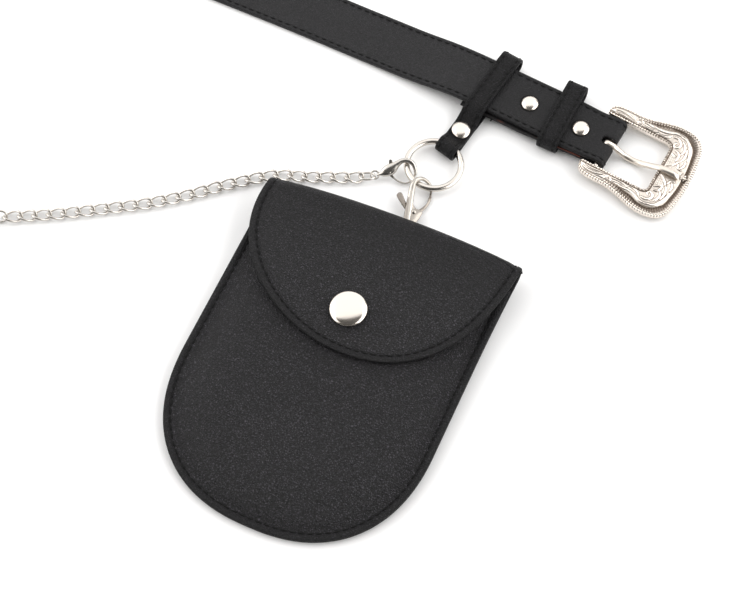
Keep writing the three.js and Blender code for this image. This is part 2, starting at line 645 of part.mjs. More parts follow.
// ------------------------------------------------ hanger round belt and ring, keeper on the belt
const hanger = new THREE.Group();
hanger.position.set(HANGER.x, HANGER.y, 0);
hanger.rotation.z = HANGER.lean;
bag.add(hanger);

function hangerLoop() {
  const side = outline([
    [-30.2, 3.5], [-29.8, 1.9], [-28.6, 0.8], [-26.5, 0.4], [-22.5, 0.5], [-20.4, 0.6], [-12, 0.6], [-8, 0],
    [26.2, 0], [28, 1.1], [28.9, 3.4], [28.6, 5.9], [27.2, 7.6], [24.4, 8.2], [-2.6, 8.2], [-6.0, 7.2],
    [-9.2, 5.0], [-11.6, 3.4], [-20.4, 3.4], [-22.6, 4.6], [-24.6, 6.2], [-26.5, 6.6], [-28.6, 6.2],
    [-29.8, 5.1],
  ]);
  const beltOpening = outline([
    [-9, 1.5], [-6, 1.4], [26, 1.4], [27.1, 2.1], [27.5, 3.5], [27.2, 5.4], [26, 6.5], [23.8, 6.8],
    [-2.6, 6.8], [-5.2, 6.0], [-7.9, 4.0],
  ]);
  side.holes.push(beltOpening, ellipse(-26.1, 3.5, 2.95, 1.95, 14));
  const loop = cut(band(side, HANGER.width), pin(0, HANGER.rivetAt, -1, 8, 1.6, 8));
  const p = loop.attributes.position;
  for (let i = 0; i < p.count; i++) {
    const toRing = THREE.MathUtils.smoothstep(-p.getY(i), 12, 22);
    p.setY(i, p.getY(i) - HANGER.skew * p.getX(i) * toRing);
  }
  return loop;
}
addPiece(hanger, 'hanger_loop', hangerLoop(), smooth);
addPiece(hanger, 'hanger_rivet', rivet(3.4, 0.6), nickel).position.set(0, HANGER.rivetAt, 0);

/** A stadium with soft corners, from z = base to base + height. */
function softBox(halfLength, base, height, corner) {
  const shape = new THREE.Shape();
  const top = base + height;
  shape.moveTo(-halfLength + corner, base);
  shape.lineTo(halfLength - corner, base);
  shape.quadraticCurveTo(halfLength, base, halfLength, base + height / 2);
  shape.quadraticCurveTo(halfLength, top, halfLength - corner, top);
  shape.lineTo(-halfLength + corner, top);
  shape.quadraticCurveTo(-halfLength, top, -halfLength, base + height / 2);
  shape.quadraticCurveTo(-halfLength, base, -halfLength + corner, base);
  return shape;
}

const keeperSide = softBox(KEEPER.length / 2, 0, KEEPER.height, 3.4);
keeperSide.holes.push(softBox(KEEPER.length / 2 - LEATHER, LEATHER, KEEPER.height - 2 * LEATHER, 1.8));
const keeper = addPiece(bag, 'keeper_loop', band(keeperSide, KEEPER.width, 5), smooth);
keeper.position.set(KEEPER.x, KEEPER.y, 0);
keeper.rotation.z = KEEPER.heading;

// ------------------------------------------------ buckle, hinged on its bar
// Its own frame: +X from the bar towards the end bar, Y across, z = 0 through the middle of the bar.
const buckle = new THREE.Group();
buckle.position.set(BAR.x, BAR.y, barZ);
buckle.rotation.order = 'ZYX';
buckle.rotation.set(0, BUCKLE.tilt, BUCKLE.heading);
bag.add(buckle);

const buckleEdge = [
  { along: -6.3, across: 14.6 },
  { along: -5.9, across: 16.8 },
  { along: -3.9, across: 18.3 },
  { along: 1.0, across: 18.7 },
  { along: 7.0, across: 18.7 },
  { along: 11.5, across: 19.4 },
  { along: 16.0, across: 20.7 },
  { along: 20.5, across: 22.0 },
  { along: 25.0, across: 22.6 },
  { along: 29.0, across: 22.4 },
  { along: 32.5, across: 21.4 },
  { along: 34.9, across: 19.2 },
  { along: 36.3, across: 16.2 },
  { along: 37.2, across: 10.5 },
  { along: 37.8, across: 5.2 },
];

function buckleFrame() {
  const { thickness, bevel, drop } = BUCKLE;
  const side = buckleEdge.map((p) => [p.along, p.across]);
  const inner = [[24.9, 11.2], [24.4, 13.1], [22.4, 13.9], [-5.6, 13.9]];
  const half = [...inner, ...side];
  const shape = outline([...half, ...[...half].reverse().map(([x, y]) => [x, -y])]);
  const body = new THREE.ExtrudeGeometry(shape, {
    depth: thickness - 2 * bevel, bevelThickness: bevel, bevelSize: bevel, bevelSegments: 1, curveSegments: 1,
  }).translate(0, 0, bevel - drop);
  const bar = pin(0, 0, -14.5, 14.5, BAR.radius, 10).rotateX(Math.PI / 2);
  return join(body, bar);
}

/** The prong dips between its eye on the bar and its tip, which lies on the end bar. */
function prong() {
  const { thickness, drop, prongWidth, prongAside } = BUCKLE;
  const rest = thickness - drop + GAP;
  const eye = BAR.radius + GAP + 1.3;
  const shape = outline([
    ...arc(0, 0, eye, eye, 75, 330, 12), [5, -1.5], [8.2, -2.75], [11.5, -3.2], [14.5, -3], [17.2, -2.1],
    [20, -0.8], [22.5, 0.5], [24.4, rest], [33.2, rest], [33.5, rest + 0.9], [31.2, 4.5], [27.7, 4.4],
    [25, 3.9], [22.3, 2.8], [19.6, 1.7], [16.7, 0.4], [14, -0.45], [11.3, -0.8], [8.6, -0.35], [5, 1.2],
  ]);
  shape.holes.push(ellipse(0, 0, BAR.radius + GAP, BAR.radius + GAP, 14));
  const g = new THREE.ExtrudeGeometry(shape, { depth: prongWidth, bevelEnabled: false, curveSegments: 8 });
  return g.translate(0, 0, -prongWidth / 2 - prongAside).rotateX(Math.PI / 2);
}

addPiece(buckle, 'buckle_frame', buckleFrame(), silver);
addPiece(buckle, 'buckle_prong', prong(), silver);

// ------------------------------------------------ one frame for all: centred, standing on z = 0
const bounds = new THREE.Box3().setFromObject(bag, true);
bag.position.set(-(bounds.min.x + bounds.max.x) / 2, -(bounds.min.y + bounds.max.y) / 2, -bounds.min.z);

export default bag;
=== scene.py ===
import math

import bmesh
import bpy
import numpy as np
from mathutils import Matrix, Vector


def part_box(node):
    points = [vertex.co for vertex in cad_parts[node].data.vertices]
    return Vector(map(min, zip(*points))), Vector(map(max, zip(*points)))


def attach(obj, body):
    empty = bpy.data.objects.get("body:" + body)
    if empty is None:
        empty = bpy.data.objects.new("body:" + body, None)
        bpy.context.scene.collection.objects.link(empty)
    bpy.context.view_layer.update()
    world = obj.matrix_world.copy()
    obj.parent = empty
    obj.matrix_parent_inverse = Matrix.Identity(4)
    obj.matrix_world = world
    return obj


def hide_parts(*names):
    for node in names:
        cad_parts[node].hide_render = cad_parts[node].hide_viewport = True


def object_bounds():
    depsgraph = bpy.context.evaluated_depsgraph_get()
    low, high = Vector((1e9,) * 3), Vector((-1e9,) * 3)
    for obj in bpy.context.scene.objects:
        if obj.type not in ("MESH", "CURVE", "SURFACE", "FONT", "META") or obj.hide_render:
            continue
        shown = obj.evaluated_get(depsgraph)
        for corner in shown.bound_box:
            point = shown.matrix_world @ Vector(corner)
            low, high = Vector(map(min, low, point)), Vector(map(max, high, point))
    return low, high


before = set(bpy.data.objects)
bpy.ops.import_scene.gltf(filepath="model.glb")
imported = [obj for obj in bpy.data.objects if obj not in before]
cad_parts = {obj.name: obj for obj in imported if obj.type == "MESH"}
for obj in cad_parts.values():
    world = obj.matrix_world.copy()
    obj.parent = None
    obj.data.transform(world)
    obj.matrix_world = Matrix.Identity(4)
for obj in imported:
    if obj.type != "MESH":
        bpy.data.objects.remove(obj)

cad_box = [[float(c) for c in corner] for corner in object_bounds()]


# ---------------------------------------------------------------- table, lamps and camera
# The bag lies on a plain white table under large soft lamps and is seen from above.  It is drawn in
# millimetres on the table top, and the O-ring's centre ties that drawing to the frame.

RING_CENTRE = np.array([3.9, 107.2, 3.5])
ring_low, ring_high = (np.array(corner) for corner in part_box("o_ring"))
datum = (ring_low + ring_high) * 500 - RING_CENTRE


def metres(points):
    return (np.asarray(points, float) + datum) * 0.001


class Field:
    """An output of a finish's nodes.  Arithmetic on it adds Math nodes to the same tree."""

    def __init__(self, socket):
        self.socket = socket

    def math(self, operation, first, second):
        tree = self.socket.id_data
        node = tree.nodes.new("ShaderNodeMath")
        node.operation = operation
        for place, value in zip(node.inputs, (first, second)):
            if isinstance(value, Field):
                tree.links.new(value.socket, place)
            else:
                place.default_value = value
        return Field(node.outputs[0])

    def __add__(self, other):
        return self.math("ADD", self, other)

    def __radd__(self, other):
        return self.math("ADD", other, self)

    def __sub__(self, other):
        return self.math("SUBTRACT", self, other)

    def __rsub__(self, other):
        return self.math("SUBTRACT", other, self)

    def __mul__(self, other):
        return self.math("MULTIPLY", self, other)

    def __rmul__(self, other):
        return self.math("MULTIPLY", other, self)


class Finish:
    """A procedural finish: one Principled shader with the nodes that vary it."""

    def __init__(self, name, **constants):
        self.material = bpy.data.materials.new(name)
        self.material.use_nodes = True
        self.tree = self.material.node_tree
        self.shader = self.tree.nodes["Principled BSDF"]
        for socket, value in constants.items():
            self.shader.inputs[socket.replace("_", " ")].default_value = value

    def node(self, kind, settings, sockets, output=0):
        node = self.tree.nodes.new("ShaderNode" + kind)
        for name, value in settings.items():
            setattr(node, name, value)
        for name, value in sockets.items():
            if isinstance(value, Field):
                self.tree.links.new(value.socket, node.inputs[name])
            else:
                node.inputs[name].default_value = value
        return Field(node.outputs[output])

    def blend(self, share, low, high):
        return self.node("Mix", {"data_type": "RGBA"}, {0: share, 6: low, 7: high}, output=2)

    def drive(self, socket, field):
        self.tree.links.new(field.socket, self.shader.inputs[socket])

    def place(self):
        """Where on the piece, in metres of its own frame."""
        return self.node("TexCoord", {}, {}, output=3)

    def deep(self):
        """The share that a piece's mesh marks as deep, dull and in places painted shade; 0 where it marks
        none.
        """
        return self.node("Attribute", {"attribute_name": "deep"}, {}, output=2)

    def emboss(self, strength, distance, height):
        sockets = {"Strength": strength, "Distance": distance, "Height": height}
        self.drive("Normal", self.node("Bump", {}, sockets))


def grey(value):
    return (value, value, value, 1)


scene = bpy.context.scene
scene.view_settings.view_transform = "Standard"

table_top = Finish("table_top", Base_Color=grey(0.93), Roughness=0.7)
dust = table_top.node("TexNoise", {}, {"Scale": 6.0, "Detail": 2.0})
table_top.drive("Base Color", table_top.blend(dust, grey(0.925), grey(0.935)))
table_mesh = bpy.data.meshes.new("table")
TABLE_HALF, TABLE_DROP = 4.0, 0.0001
table_corners = [(-TABLE_HALF, -TABLE_HALF, 0), (TABLE_HALF, -TABLE_HALF, 0), (TABLE_HALF, TABLE_HALF, 0),
                 (-TABLE_HALF, TABLE_HALF, 0)]
table_mesh.from_pydata(table_corners, [], [(0, 1, 2, 3)])
table = bpy.data.objects.new("table", table_mesh)
table.location.z = cad_box[0][2] - TABLE_DROP
scene.collection.objects.link(table)
table_mesh.materials.append(table_top.material)

world = bpy.data.worlds.new("studio")
world.use_nodes = True
room_light = world.node_tree.nodes["Background"]
room_light.inputs["Color"].default_value = (1.0, 0.97, 0.94, 1)
room_light.inputs["Strength"].default_value = 0.1
scene.world = world


def turned_to(aim, place):
    """The rotation that points a lamp or the camera from its place at its aim."""
    return (Vector(metres(aim)) - place).to_track_quat("-Z", "Y").to_euler()


def lamp(name, place, width, depth, power, colour):
    data = bpy.data.lights.new(name, "AREA")
    data.shape = "RECTANGLE"
    data.size, data.size_y = width, depth
    data.energy = power
    data.color = colour
    light = bpy.data.objects.new(name, data)
    light.location = metres(place)
    light.rotation_euler = turned_to(LAMP_AIM, light.location)
    scene.collection.objects.link(light)


LAMP_AIM = (0, 40, 0)
lamp("back_softbox", (-505, 800, 975), width=3.6, depth=2.5, power=40, colour=(1.0, 0.995, 0.995))
lamp("left_softbox", (-1150, -420, 640), width=2.0, depth=1.4, power=16, colour=(1.0, 0.985, 0.97))
lamp("right_softbox", (1250, 420, 680), width=2.4, depth=1.6, power=32, colour=(1.0, 0.995, 0.985))

camera = bpy.data.objects.new("camera", bpy.data.cameras.new("camera"))
camera.data.lens = 76.8
camera.data.sensor_width = 36
camera.data.clip_start = 0.01
azimuth, elevation, distance = math.radians(24), math.radians(65), 667.5
camera_aim = np.array([6.2, 39.5, 0])
away = np.array([math.cos(elevation) * math.sin(azimuth), -math.cos(elevation) * math.cos(azimuth),
                 math.sin(elevation)])
camera.location = metres(camera_aim + distance * away)
camera.rotation_euler = turned_to(camera_aim, camera.location)
scene.collection.objects.link(camera)
scene.camera = camera


# ---------------------------------------------------------------- leather pouch
# Two stiff panels of pebbled, edge-finished leather: the back runs on over the fold and becomes the flap,
# and the domed front is sewn to it along a flat margin 3 mm in from the edge.

POUCH_FOOT, POUCH_TILT = -70.5, math.radians(1.9)
BODY_HALF, BODY_CORNER, BODY_POWER = 56.0, 58.5, 2.35
FRONT_TOP = 133.5
FLAP_HALF, FLAP_TIP, FLAP_POWER, FLAP_TOP = 57.0, 77.8, 2.08, 10.1
FOLD, FOLD_SAG, FOLD_SLANT = 140.2, 1.8, 1.55
FLAP_SHIFT, FLAP_SKEW, LEAN = 3.5, 2.3, 1.2
WALL, SEWN_GAP = 1.4, 0.3
SEAM_INSET, MARGIN = 3.0, 4.5
CROWN, CROWN_POWER = 5.2, 4.5


def tilted(x, v, z):
    """From the pouch's own level, v up from its bottom edge, to the table, which it meets at a slant."""
    y = POUCH_FOOT + v * math.cos(POUCH_TILT) - z * math.sin(POUCH_TILT)
    height = v * math.sin(POUCH_TILT) + z * math.cos(POUCH_TILT)
    return np.stack(np.broadcast_arrays(x, y, height), axis=-1)


def on_pouch(x, v, z):
    """The same for the panels, which lean a little to the right towards the fold."""
    return tilted(x + LEAN * np.maximum(0, v - BODY_CORNER) / (FOLD - BODY_CORNER), v, z)


def fold_line(x):
    return FOLD - FOLD_SAG * (x / FLAP_HALF) ** 2 + FOLD_SLANT * x / FLAP_HALF


def flap_height(x):
    return FLAP_TOP - 2.0 * np.abs(x / FLAP_HALF) ** 3


def crown(x, v):
    across = np.abs(x) / (BODY_HALF - MARGIN)
    down = np.maximum(0, BODY_CORNER - v) / (BODY_CORNER - MARGIN)
    outwards = np.minimum(1, (across ** BODY_POWER + down ** BODY_POWER) ** (1 / BODY_POWER))
    return CROWN * (1 - outwards ** CROWN_POWER)


def front_shape(x, v, w, inset):
    """The front panel: w runs through the leather, from the flesh side to the grain side."""
    sewn_down = 0.25 * np.clip(1 - inset / 8, 0, 1)
    slump = 0.22 * np.sin(x * 0.055 + 0.6) * np.sin(v * 0.045) * np.clip(inset / 20, 0, 1)
    return on_pouch(x, v, 2 * WALL + SEWN_GAP - WALL / 2 + crown(x, v) + w - sewn_down - slump)


def back_shape(x, length, w, inset):
    """The back, fold and flap as one skin, length measured along it from the bottom edge."""
    start = fold_line(x)
    outer = flap_height(x) / 2
    middle = outer - WALL / 2
    turn = np.clip((length - start) / middle, 0, math.pi)
    on_flap = np.maximum(0, length - start - math.pi * middle)
    v = np.where(length < start, length, start + (middle + w) * np.sin(turn) - on_flap)
    z = outer - (middle + w) * np.cos(turn)
    ripple = 0.18 * np.sin(x * 0.07 - 0.4) * np.clip(on_flap / 50, 0, 1) ** 2
    return on_pouch(x, v, z - ripple)


def run_of(points):
    """The distance covered at each point of a polyline."""
    return np.r_[0, np.cumsum(np.linalg.norm(np.diff(points, axis=0), axis=1))]


def at_run(at, run, rows):
    """Rows of points or normals, read at distances along their run."""
    return np.stack([np.interp(at, run, rows[:, k]) for k in range(rows.shape[1])], axis=1)


def even(points, step):
    """Points at an even distance along a polyline."""
    points = np.asarray(points, float)
    run = run_of(points)
    count = max(2, int(round(run[-1] / step)) + 1)
    return at_run(np.linspace(0, run[-1], count), run, points)


def body_corner(side):
    angle = np.radians(np.linspace(90, 0, 400))
    x = side * BODY_HALF * np.cos(angle) ** (2 / BODY_POWER)
    v = BODY_CORNER * (1 - np.sin(angle) ** (2 / BODY_POWER))
    return even(np.stack([x, v], axis=1), 1.3)


def flap_edge(side):
    angle = np.radians(np.linspace(0, 90, 400))
    x = side * FLAP_HALF * np.cos(angle) ** (2 / FLAP_POWER)
    share = np.sin(angle) ** (2 / FLAP_POWER)
    fold = fold_line(x)
    half_turn = math.pi * (flap_height(x) - WALL) / 2
    aside = FLAP_SHIFT * share - FLAP_SKEW * np.sin(math.pi * share ** 0.85)
    return even(np.stack([x + aside, fold + half_turn + (fold - FLAP_TIP) * share], axis=1), 1.2)


def rays(edge, spine, insets, steps):
    """Points from the edge inwards: first at fixed insets along the edge's normal, then on to the spine."""
    tangent = np.gradient(edge, axis=0)
    tangent /= np.linalg.norm(tangent, axis=1)[:, None]
    inward = np.stack([-tangent[:, 1], tangent[:, 0]], axis=1)
    rings = [edge + inward * d for d in insets]
    depth = [np.full(len(edge), d) for d in insets]
    last = rings[-1]
    for share in np.linspace(0, 1, steps + 1)[1:]:
        rings.append(last + (spine - last) * share)
        depth.append(insets[-1] + np.linalg.norm(spine - last, axis=1) * share)
    return np.stack(rings, axis=1), np.stack(depth, axis=1), inward


def welded(name, points, faces, weld, deep=None):
    """A closed mesh, with near points welded and its faces turned outwards."""
    mesh = bpy.data.meshes.new(name)
    mesh.from_pydata(metres(points).tolist(), [], [list(map(int, face)) for face in faces])
    if deep is not None:
        mesh.attributes.new("deep", "FLOAT", "POINT").data.foreach_set("value", deep)
    work = bmesh.new()
    work.from_mesh(mesh)
    bmesh.ops.remove_doubles(work, verts=work.verts, dist=weld)
    bmesh.ops.recalc_face_normals(work, faces=work.faces)
    work.to_mesh(mesh)
    work.free()
    return mesh


def smooth_mesh(name, points, faces, finish, slot, body="bag", stands_for=(), deep=None):
    """A smooth-shaded piece on its body and with its finish, in place of the solids it stands for."""
    mesh = welded(name, points, faces, 2e-6, deep)
    mesh.shade_smooth()
    mesh.materials.append(finish.material)
    piece = bpy.data.objects.new(name, mesh)
    scene.collection.objects.link(piece)
    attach(piece, body)
    if stands_for:
        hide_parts(*stands_for)
    return piece


def quads(rows, columns, wrap_rows=False, wrap_columns=False):
    faces = []
    for r in range(rows if wrap_rows else rows - 1):
        for c in range(columns if wrap_columns else columns - 1):
            s, d = (r + 1) % rows, (c + 1) % columns
            faces.append((r * columns + c, r * columns + d, s * columns + d, s * columns + c))
    return faces


def groove(offset, width):
    """A soft furrow or ridge, 1 at its middle."""
    return np.exp(-(offset / width) ** 2)


EDGE_ROUND = 0.55
PANEL_INSETS = [EDGE_ROUND, 0.95, 1.5, 2.1, 2.5, 2.75, 3.0, 3.25, 3.55, 4.0, 4.8, 6.2, 8.0]
PANEL_STEPS = 15
FOLD_SHADE_FROM, FOLD_SHADE_RUN = 36, 30


def panel(name, edge, spine, shape, closed, stands_for):
    """A leather panel: grain side, rounded edge and flesh side, with the furrow of its seam.

    Its rolled edge and its seam margin are marked as deep, and the leather over the fold is marked with
    painted shade.
    """
    flat, inset, inward = rays(edge, spine, PANEL_INSETS, PANEL_STEPS)
    furrow = 0.42 * groove(inset - SEAM_INSET, 0.5) + 0.16 * groove(inset - 4.2, 0.9)
    swell = 0.16 * groove(inset - 1.6, 0.7)
    half = WALL / 2
    grain = shape(flat[..., 0], flat[..., 1], half - furrow + swell, inset)
    flesh = shape(flat[..., 0], flat[..., 1], -half + furrow * 0.4, inset)
    rim = []
    for angle in np.radians([55, 20, -20, -55]):
        at = edge + inward * EDGE_ROUND * (1 - math.cos(angle))
        rim.append(shape(at[:, 0], at[:, 1], half * math.sin(angle), np.zeros(len(edge))))
    columns = np.concatenate([grain[:, ::-1], np.stack(rim, axis=1), flesh], axis=1)
    rows, width = columns.shape[:2]
    faces = quads(rows, width, wrap_rows=closed)
    if not closed:
        for row in (0, rows - 1):
            for k in range(width // 2 - 1):
                low, high = row * width + k, row * width + width - 1 - k
                faces.append((low, low + 1, high - 1, high))
    margin = 1 - np.clip((inset[:, ::-1] - 2.7) / 0.5, 0, 1)
    # painted shade: the grain side grows darker and duller up towards the fold
    painted_fold_shade = 0.85 * np.clip((grain[:, ::-1, 1] - FOLD_SHADE_FROM) / FOLD_SHADE_RUN, 0, 1)
    edges_and_painted_fold_shade = np.concatenate([np.maximum(margin, painted_fold_shade), np.full((rows, len(rim)), 1.6),
                           np.ones(inset.shape)], axis=1)
    smooth_mesh(name, columns.reshape(-1, 3), faces, pouch_leather, "pebbled_leather",
                stands_for=[stands_for], deep=edges_and_painted_fold_shade.ravel())


def leather(name, tone, grain, relief, roughness, crest_highlight, gloss=1.36):
    """Black leather: pebbles of the grain's size in mm, with a painted highlight on their crests, and a soft
    uneven sheen.

    Where a mesh marks the leather as deep, it is darker and duller; some meshes mark painted shade this way.
    """
    hide = Finish(name, Base_Color=grey(tone), Roughness=roughness, IOR=gloss)
    place = hide.place()
    drift = hide.node("TexNoise", {}, {"Vector": place, "Scale": 260.0, "Detail": 2.0}, output=1)
    warped = hide.node("VectorMath", {"operation": "MULTIPLY_ADD"},
                       {0: drift, 1: (0.0016, 0.0016, 0.0016), 2: place})
    creases = hide.node("TexVoronoi", {"feature": "DISTANCE_TO_EDGE"},
                        {"Vector": warped, "Scale": 1000 / grain})
    pebble = hide.node("MapRange", {"interpolation_type": "SMOOTHSTEP"}, {0: creases, 1: 0.0, 2: 0.28})
    swell = hide.node("TexNoise", {},
                      {"Vector": warped, "Scale": 1400 / grain, "Detail": 2.0, "Distortion": 0.6})
    crest = hide.node("MapRange", {"interpolation_type": "SMOOTHSTEP"}, {0: swell, 1: 0.42, 2: 0.66})
    wear = hide.node("TexNoise", {}, {"Vector": place, "Scale": 38.0, "Detail": 4.0})
    # the deep mark: darker, duller edges, and painted shade over the pouch's fold and on the belt towards the
    # buckle
    edges_and_painted_shade = hide.deep()
    hide.emboss(relief, 0.0003, pebble * 0.6 + crest * 0.8)
    hide.drive("Roughness", roughness - 0.06 + wear * 0.16 - crest * 0.1 + edges_and_painted_shade * 0.12)
    # painted highlight: the crests' colour is raised to this many times the tone, in place of their glints
    dull = (tone * 0.46, tone * 0.42, tone * 0.52, 1)
    bright = (tone * crest_highlight * 1.02, tone * crest_highlight * 0.95, tone * crest_highlight * 1.13, 1)
    hide.drive("Base Color", hide.blend(crest * pebble * (1 - edges_and_painted_shade * 0.6), dull, bright))
    return hide


pouch_leather = leather("pouch_leather", tone=0.005, grain=0.9, relief=1.0, roughness=0.43, crest_highlight=11.0)
belt_leather = leather("belt_leather", tone=0.006, grain=0.7, relief=0.5, roughness=0.42, crest_highlight=4.0)

FRONT_STATIONS = 34
front_side = np.stack([np.full(FRONT_STATIONS, BODY_HALF),
                       np.linspace(BODY_CORNER, FRONT_TOP, FRONT_STATIONS)], axis=1)
right_front = np.concatenate([body_corner(1), front_side[1:]])
front_edge = np.concatenate([right_front[::-1] * (-1, 1), right_front[1:]])
front_spine = np.stack([np.zeros(len(front_edge)), np.maximum(front_edge[:, 1], BODY_CORNER)], axis=1)
panel("pouch_front_panel", front_edge, front_spine, front_shape, False, "pouch_front")

BACK_STATIONS, FOLD_STATIONS, BACK_WIDENS_FROM = 36, 26, 95


def back_half(side):
    """Edge and spine of one side of the back, from the bottom up over the fold to the flap's tip."""
    corner = body_corner(side)
    top = float(fold_line(side * FLAP_HALF))
    rise = np.linspace(BODY_CORNER, top, BACK_STATIONS)[1:]
    grow = BODY_HALF + np.clip((rise - BACK_WIDENS_FROM) / (top - BACK_WIDENS_FROM), 0, 1) ** 2
    straight = np.stack([side * grow, rise], axis=1)
    share = np.linspace(0, 1, FOLD_STATIONS + 1)[1:]
    bend = np.stack([np.full(FOLD_STATIONS, side * FLAP_HALF),
                     top + share * math.pi * (flap_height(FLAP_HALF) - WALL) / 2], axis=1)
    flap = flap_edge(side)[1:]
    fold_top = FOLD + math.pi * (FLAP_TOP - WALL) / 2
    spine = np.concatenate([np.full(len(corner), BODY_CORNER),
                            np.linspace(BODY_CORNER, FOLD, BACK_STATIONS)[1:],
                            FOLD + share * (fold_top - FOLD), np.full(len(flap), fold_top + 0.5)])
    edge = np.concatenate([corner, straight, bend, flap])
    return edge, np.stack([np.zeros(len(edge)), spine], axis=1)


right_edge, right_spine = back_half(1)
left_edge, left_spine = back_half(-1)
back_edge = np.concatenate([right_edge, left_edge[-2:0:-1]])
back_spine = np.concatenate([right_spine, left_spine[-2:0:-1]])
panel("pouch_back_panel", back_edge, back_spine, back_shape, True, "pouch_back_and_flap")


# ---------------------------------------------------------------- pouch stitching
# Black bonded thread, 0.6 mm thick, in even lockstitches that sink into the furrow of the seam.

thread = Finish("black_thread", Base_Color=grey(0.003), Roughness=0.7, IOR=1.3)
twist = thread.node("TexWave", {"bands_direction": "DIAGONAL"}, {"Vector": thread.place(), "Scale": 900.0})
thread.emboss(0.4, 0.00005, twist)


def unit(vectors):
    return vectors / np.linalg.norm(vectors, axis=-1, keepdims=True)


CAP_ANGLES = np.radians([35, 65, 85])


def with_caps(vectors):
    """Directions along a rod, repeated for the rings of its two round ends."""
    spare = len(CAP_ANGLES)
    return np.concatenate([np.repeat(vectors[:1], spare, 0), vectors, np.repeat(vectors[-1:], spare, 0)])


def tube(path, across, high, up, sides=14, closed=False):
    """A rod along a path, round-ended; across and high are its half-sizes beside and along the up side."""
    path = np.asarray(path, float)
    count = len(path)
    across = np.broadcast_to(across, count).astype(float)
    high = np.broadcast_to(high, count).astype(float)
    if closed:
        tangent = unit(np.roll(path, -1, axis=0) - np.roll(path, 1, axis=0))
    else:
        tangent = unit(np.gradient(path, axis=0))
        out, thin = np.sin(CAP_ANGLES), np.cos(CAP_ANGLES)
        lead = path[0] - tangent[0] * min(across[0], high[0]) * out[::-1, None]
        tail = path[-1] + tangent[-1] * min(across[-1], high[-1]) * out[:, None]
        path = np.concatenate([lead, path, tail])
        tangent = with_caps(tangent)
        across = np.concatenate([across[0] * thin[::-1], across, across[-1] * thin])
        high = np.concatenate([high[0] * thin[::-1], high, high[-1] * thin])
    up = np.broadcast_to(np.asarray(up, float), path.shape) if np.ndim(up) == 1 else np.asarray(up)
    if len(up) != len(path):
        up = with_caps(up)
    side = unit(np.cross(up, tangent))
    lift = np.cross(tangent, side)
    angle = np.arange(sides) / sides * 2 * math.pi
    points = (path[:, None] + side[:, None] * (across[:, None] * np.cos(angle))[..., None]
              + lift[:, None] * (high[:, None] * np.sin(angle))[..., None])
    faces = quads(len(path), sides, wrap_rows=closed, wrap_columns=True)
    if not closed:
        faces.append(tuple(range(sides)))
        faces.append(tuple(range((len(path) - 1) * sides, len(path) * sides)))
    return points.reshape(-1, 3), faces


def together(parts):
    """One set of points and faces from several."""
    points, faces, offset = [], [], 0
    for part_points, part_faces in parts:
        points.append(part_points)
        faces += [tuple(i + offset for i in face) for face in part_faces]
        offset += len(part_points)
    return np.concatenate(points), faces


STITCH_SINK = np.array([-0.36, -0.02, 0.06, -0.02, -0.36])
STITCH_SWELL = np.array([0.7, 1, 1.05, 1, 0.7])


def sew(name, runs, pitch, length, slot, radius=0.4):
    """Stitches along runs of (points, outward normals), both ends sunk into the leather."""
    stitches = []
    for points, normals in runs:
        run = run_of(points)
        for start in np.arange(pitch * 0.3, run[-1] - length, pitch):
            at = start + length * np.linspace(0, 1, len(STITCH_SINK))
            normal = unit(at_run(at, run, normals))
            line = at_run(at, run, points) + normal * STITCH_SINK[:, None]
            swell = radius * STITCH_SWELL
            stitches.append(tube(line, swell, swell, normal, sides=6))
    smooth_mesh(name, *together(stitches), thread, slot)


def seam_run(edge, shape):
    """Where a panel's seam lies on its grain side, with that side's normal."""
    line = rays(edge, edge, [SEAM_INSET], 1)[0][:, 0]
    depth = np.full(len(line), SEAM_INSET)
    on = shape(line[:, 0], line[:, 1], np.full(len(line), WALL / 2 - 0.38), depth)
    off = shape(line[:, 0], line[:, 1], np.full(len(line), WALL / 2 + 1), depth)
    return on, unit(off - on)


POUCH_PITCH, POUCH_STITCH = 3.5, 2.9
for seam_name, edge, shape in (("front_stitches", front_edge, front_shape),
                               ("flap_stitches", back_edge, back_shape)):
    sew(seam_name, [seam_run(edge, shape)], POUCH_PITCH, POUCH_STITCH, "pebbled_leather")
loose_end = [on_pouch(*place) for place in
             [(56.4, 140.3, 7.7), (56.9, 141.2, 7.9), (57.5, 141.5, 7.5), (57.7, 141.0, 6.9)]]
smooth_mesh("loose_pouch_thread", *tube(loose_end, 0.22, 0.22, (0, 1.0, 0), sides=8), thread,
            "pebbled_leather")


# ---------------------------------------------------------------- snap
# A nickel-plated brass spring snap: a burnished domed cap set in the flap, and its stud riveted to the
# front panel, which stands up into the cap.

def metal(name, colour, roughness):
    """Plated metal, polished, with faint handling marks, and darker where it is marked as deep."""
    plated = Finish(name, Base_Color=colour, Metallic=1.0, Roughness=roughness)
    place = plated.place()
    smear = plated.node("TexNoise", {}, {"Vector": place, "Scale": 240.0, "Detail": 4.0})
    marks = plated.node("TexNoise", {}, {"Vector": place, "Scale": 2400.0, "Detail": 2.0})
    darkened = (colour[0] * 0.4, colour[1] * 0.37, colour[2] * 0.35, 1)
    plated.drive("Base Color", plated.blend(plated.deep(), colour, darkened))
    plated.drive("Roughness", roughness - 0.05 + smear * 0.1)
    plated.emboss(0.03, 0.0001, marks)
    return plated


snap_nickel = metal("snap_nickel", (0.76, 0.70, 0.63, 1), 0.2)


def lathe(profile, segments=64):
    """A turned piece round the z axis from (radius, height) pairs; radius 0 closes an end."""
    profile = np.asarray(profile, float)
    angle = np.arange(segments) / segments * 2 * math.pi
    points = np.stack([profile[:, None, 0] * np.cos(angle), profile[:, None, 0] * np.sin(angle),
                       np.repeat(profile[:, 1:2], segments, axis=1)], axis=-1)
    return points.reshape(-1, 3), quads(len(profile), segments, wrap_columns=True)


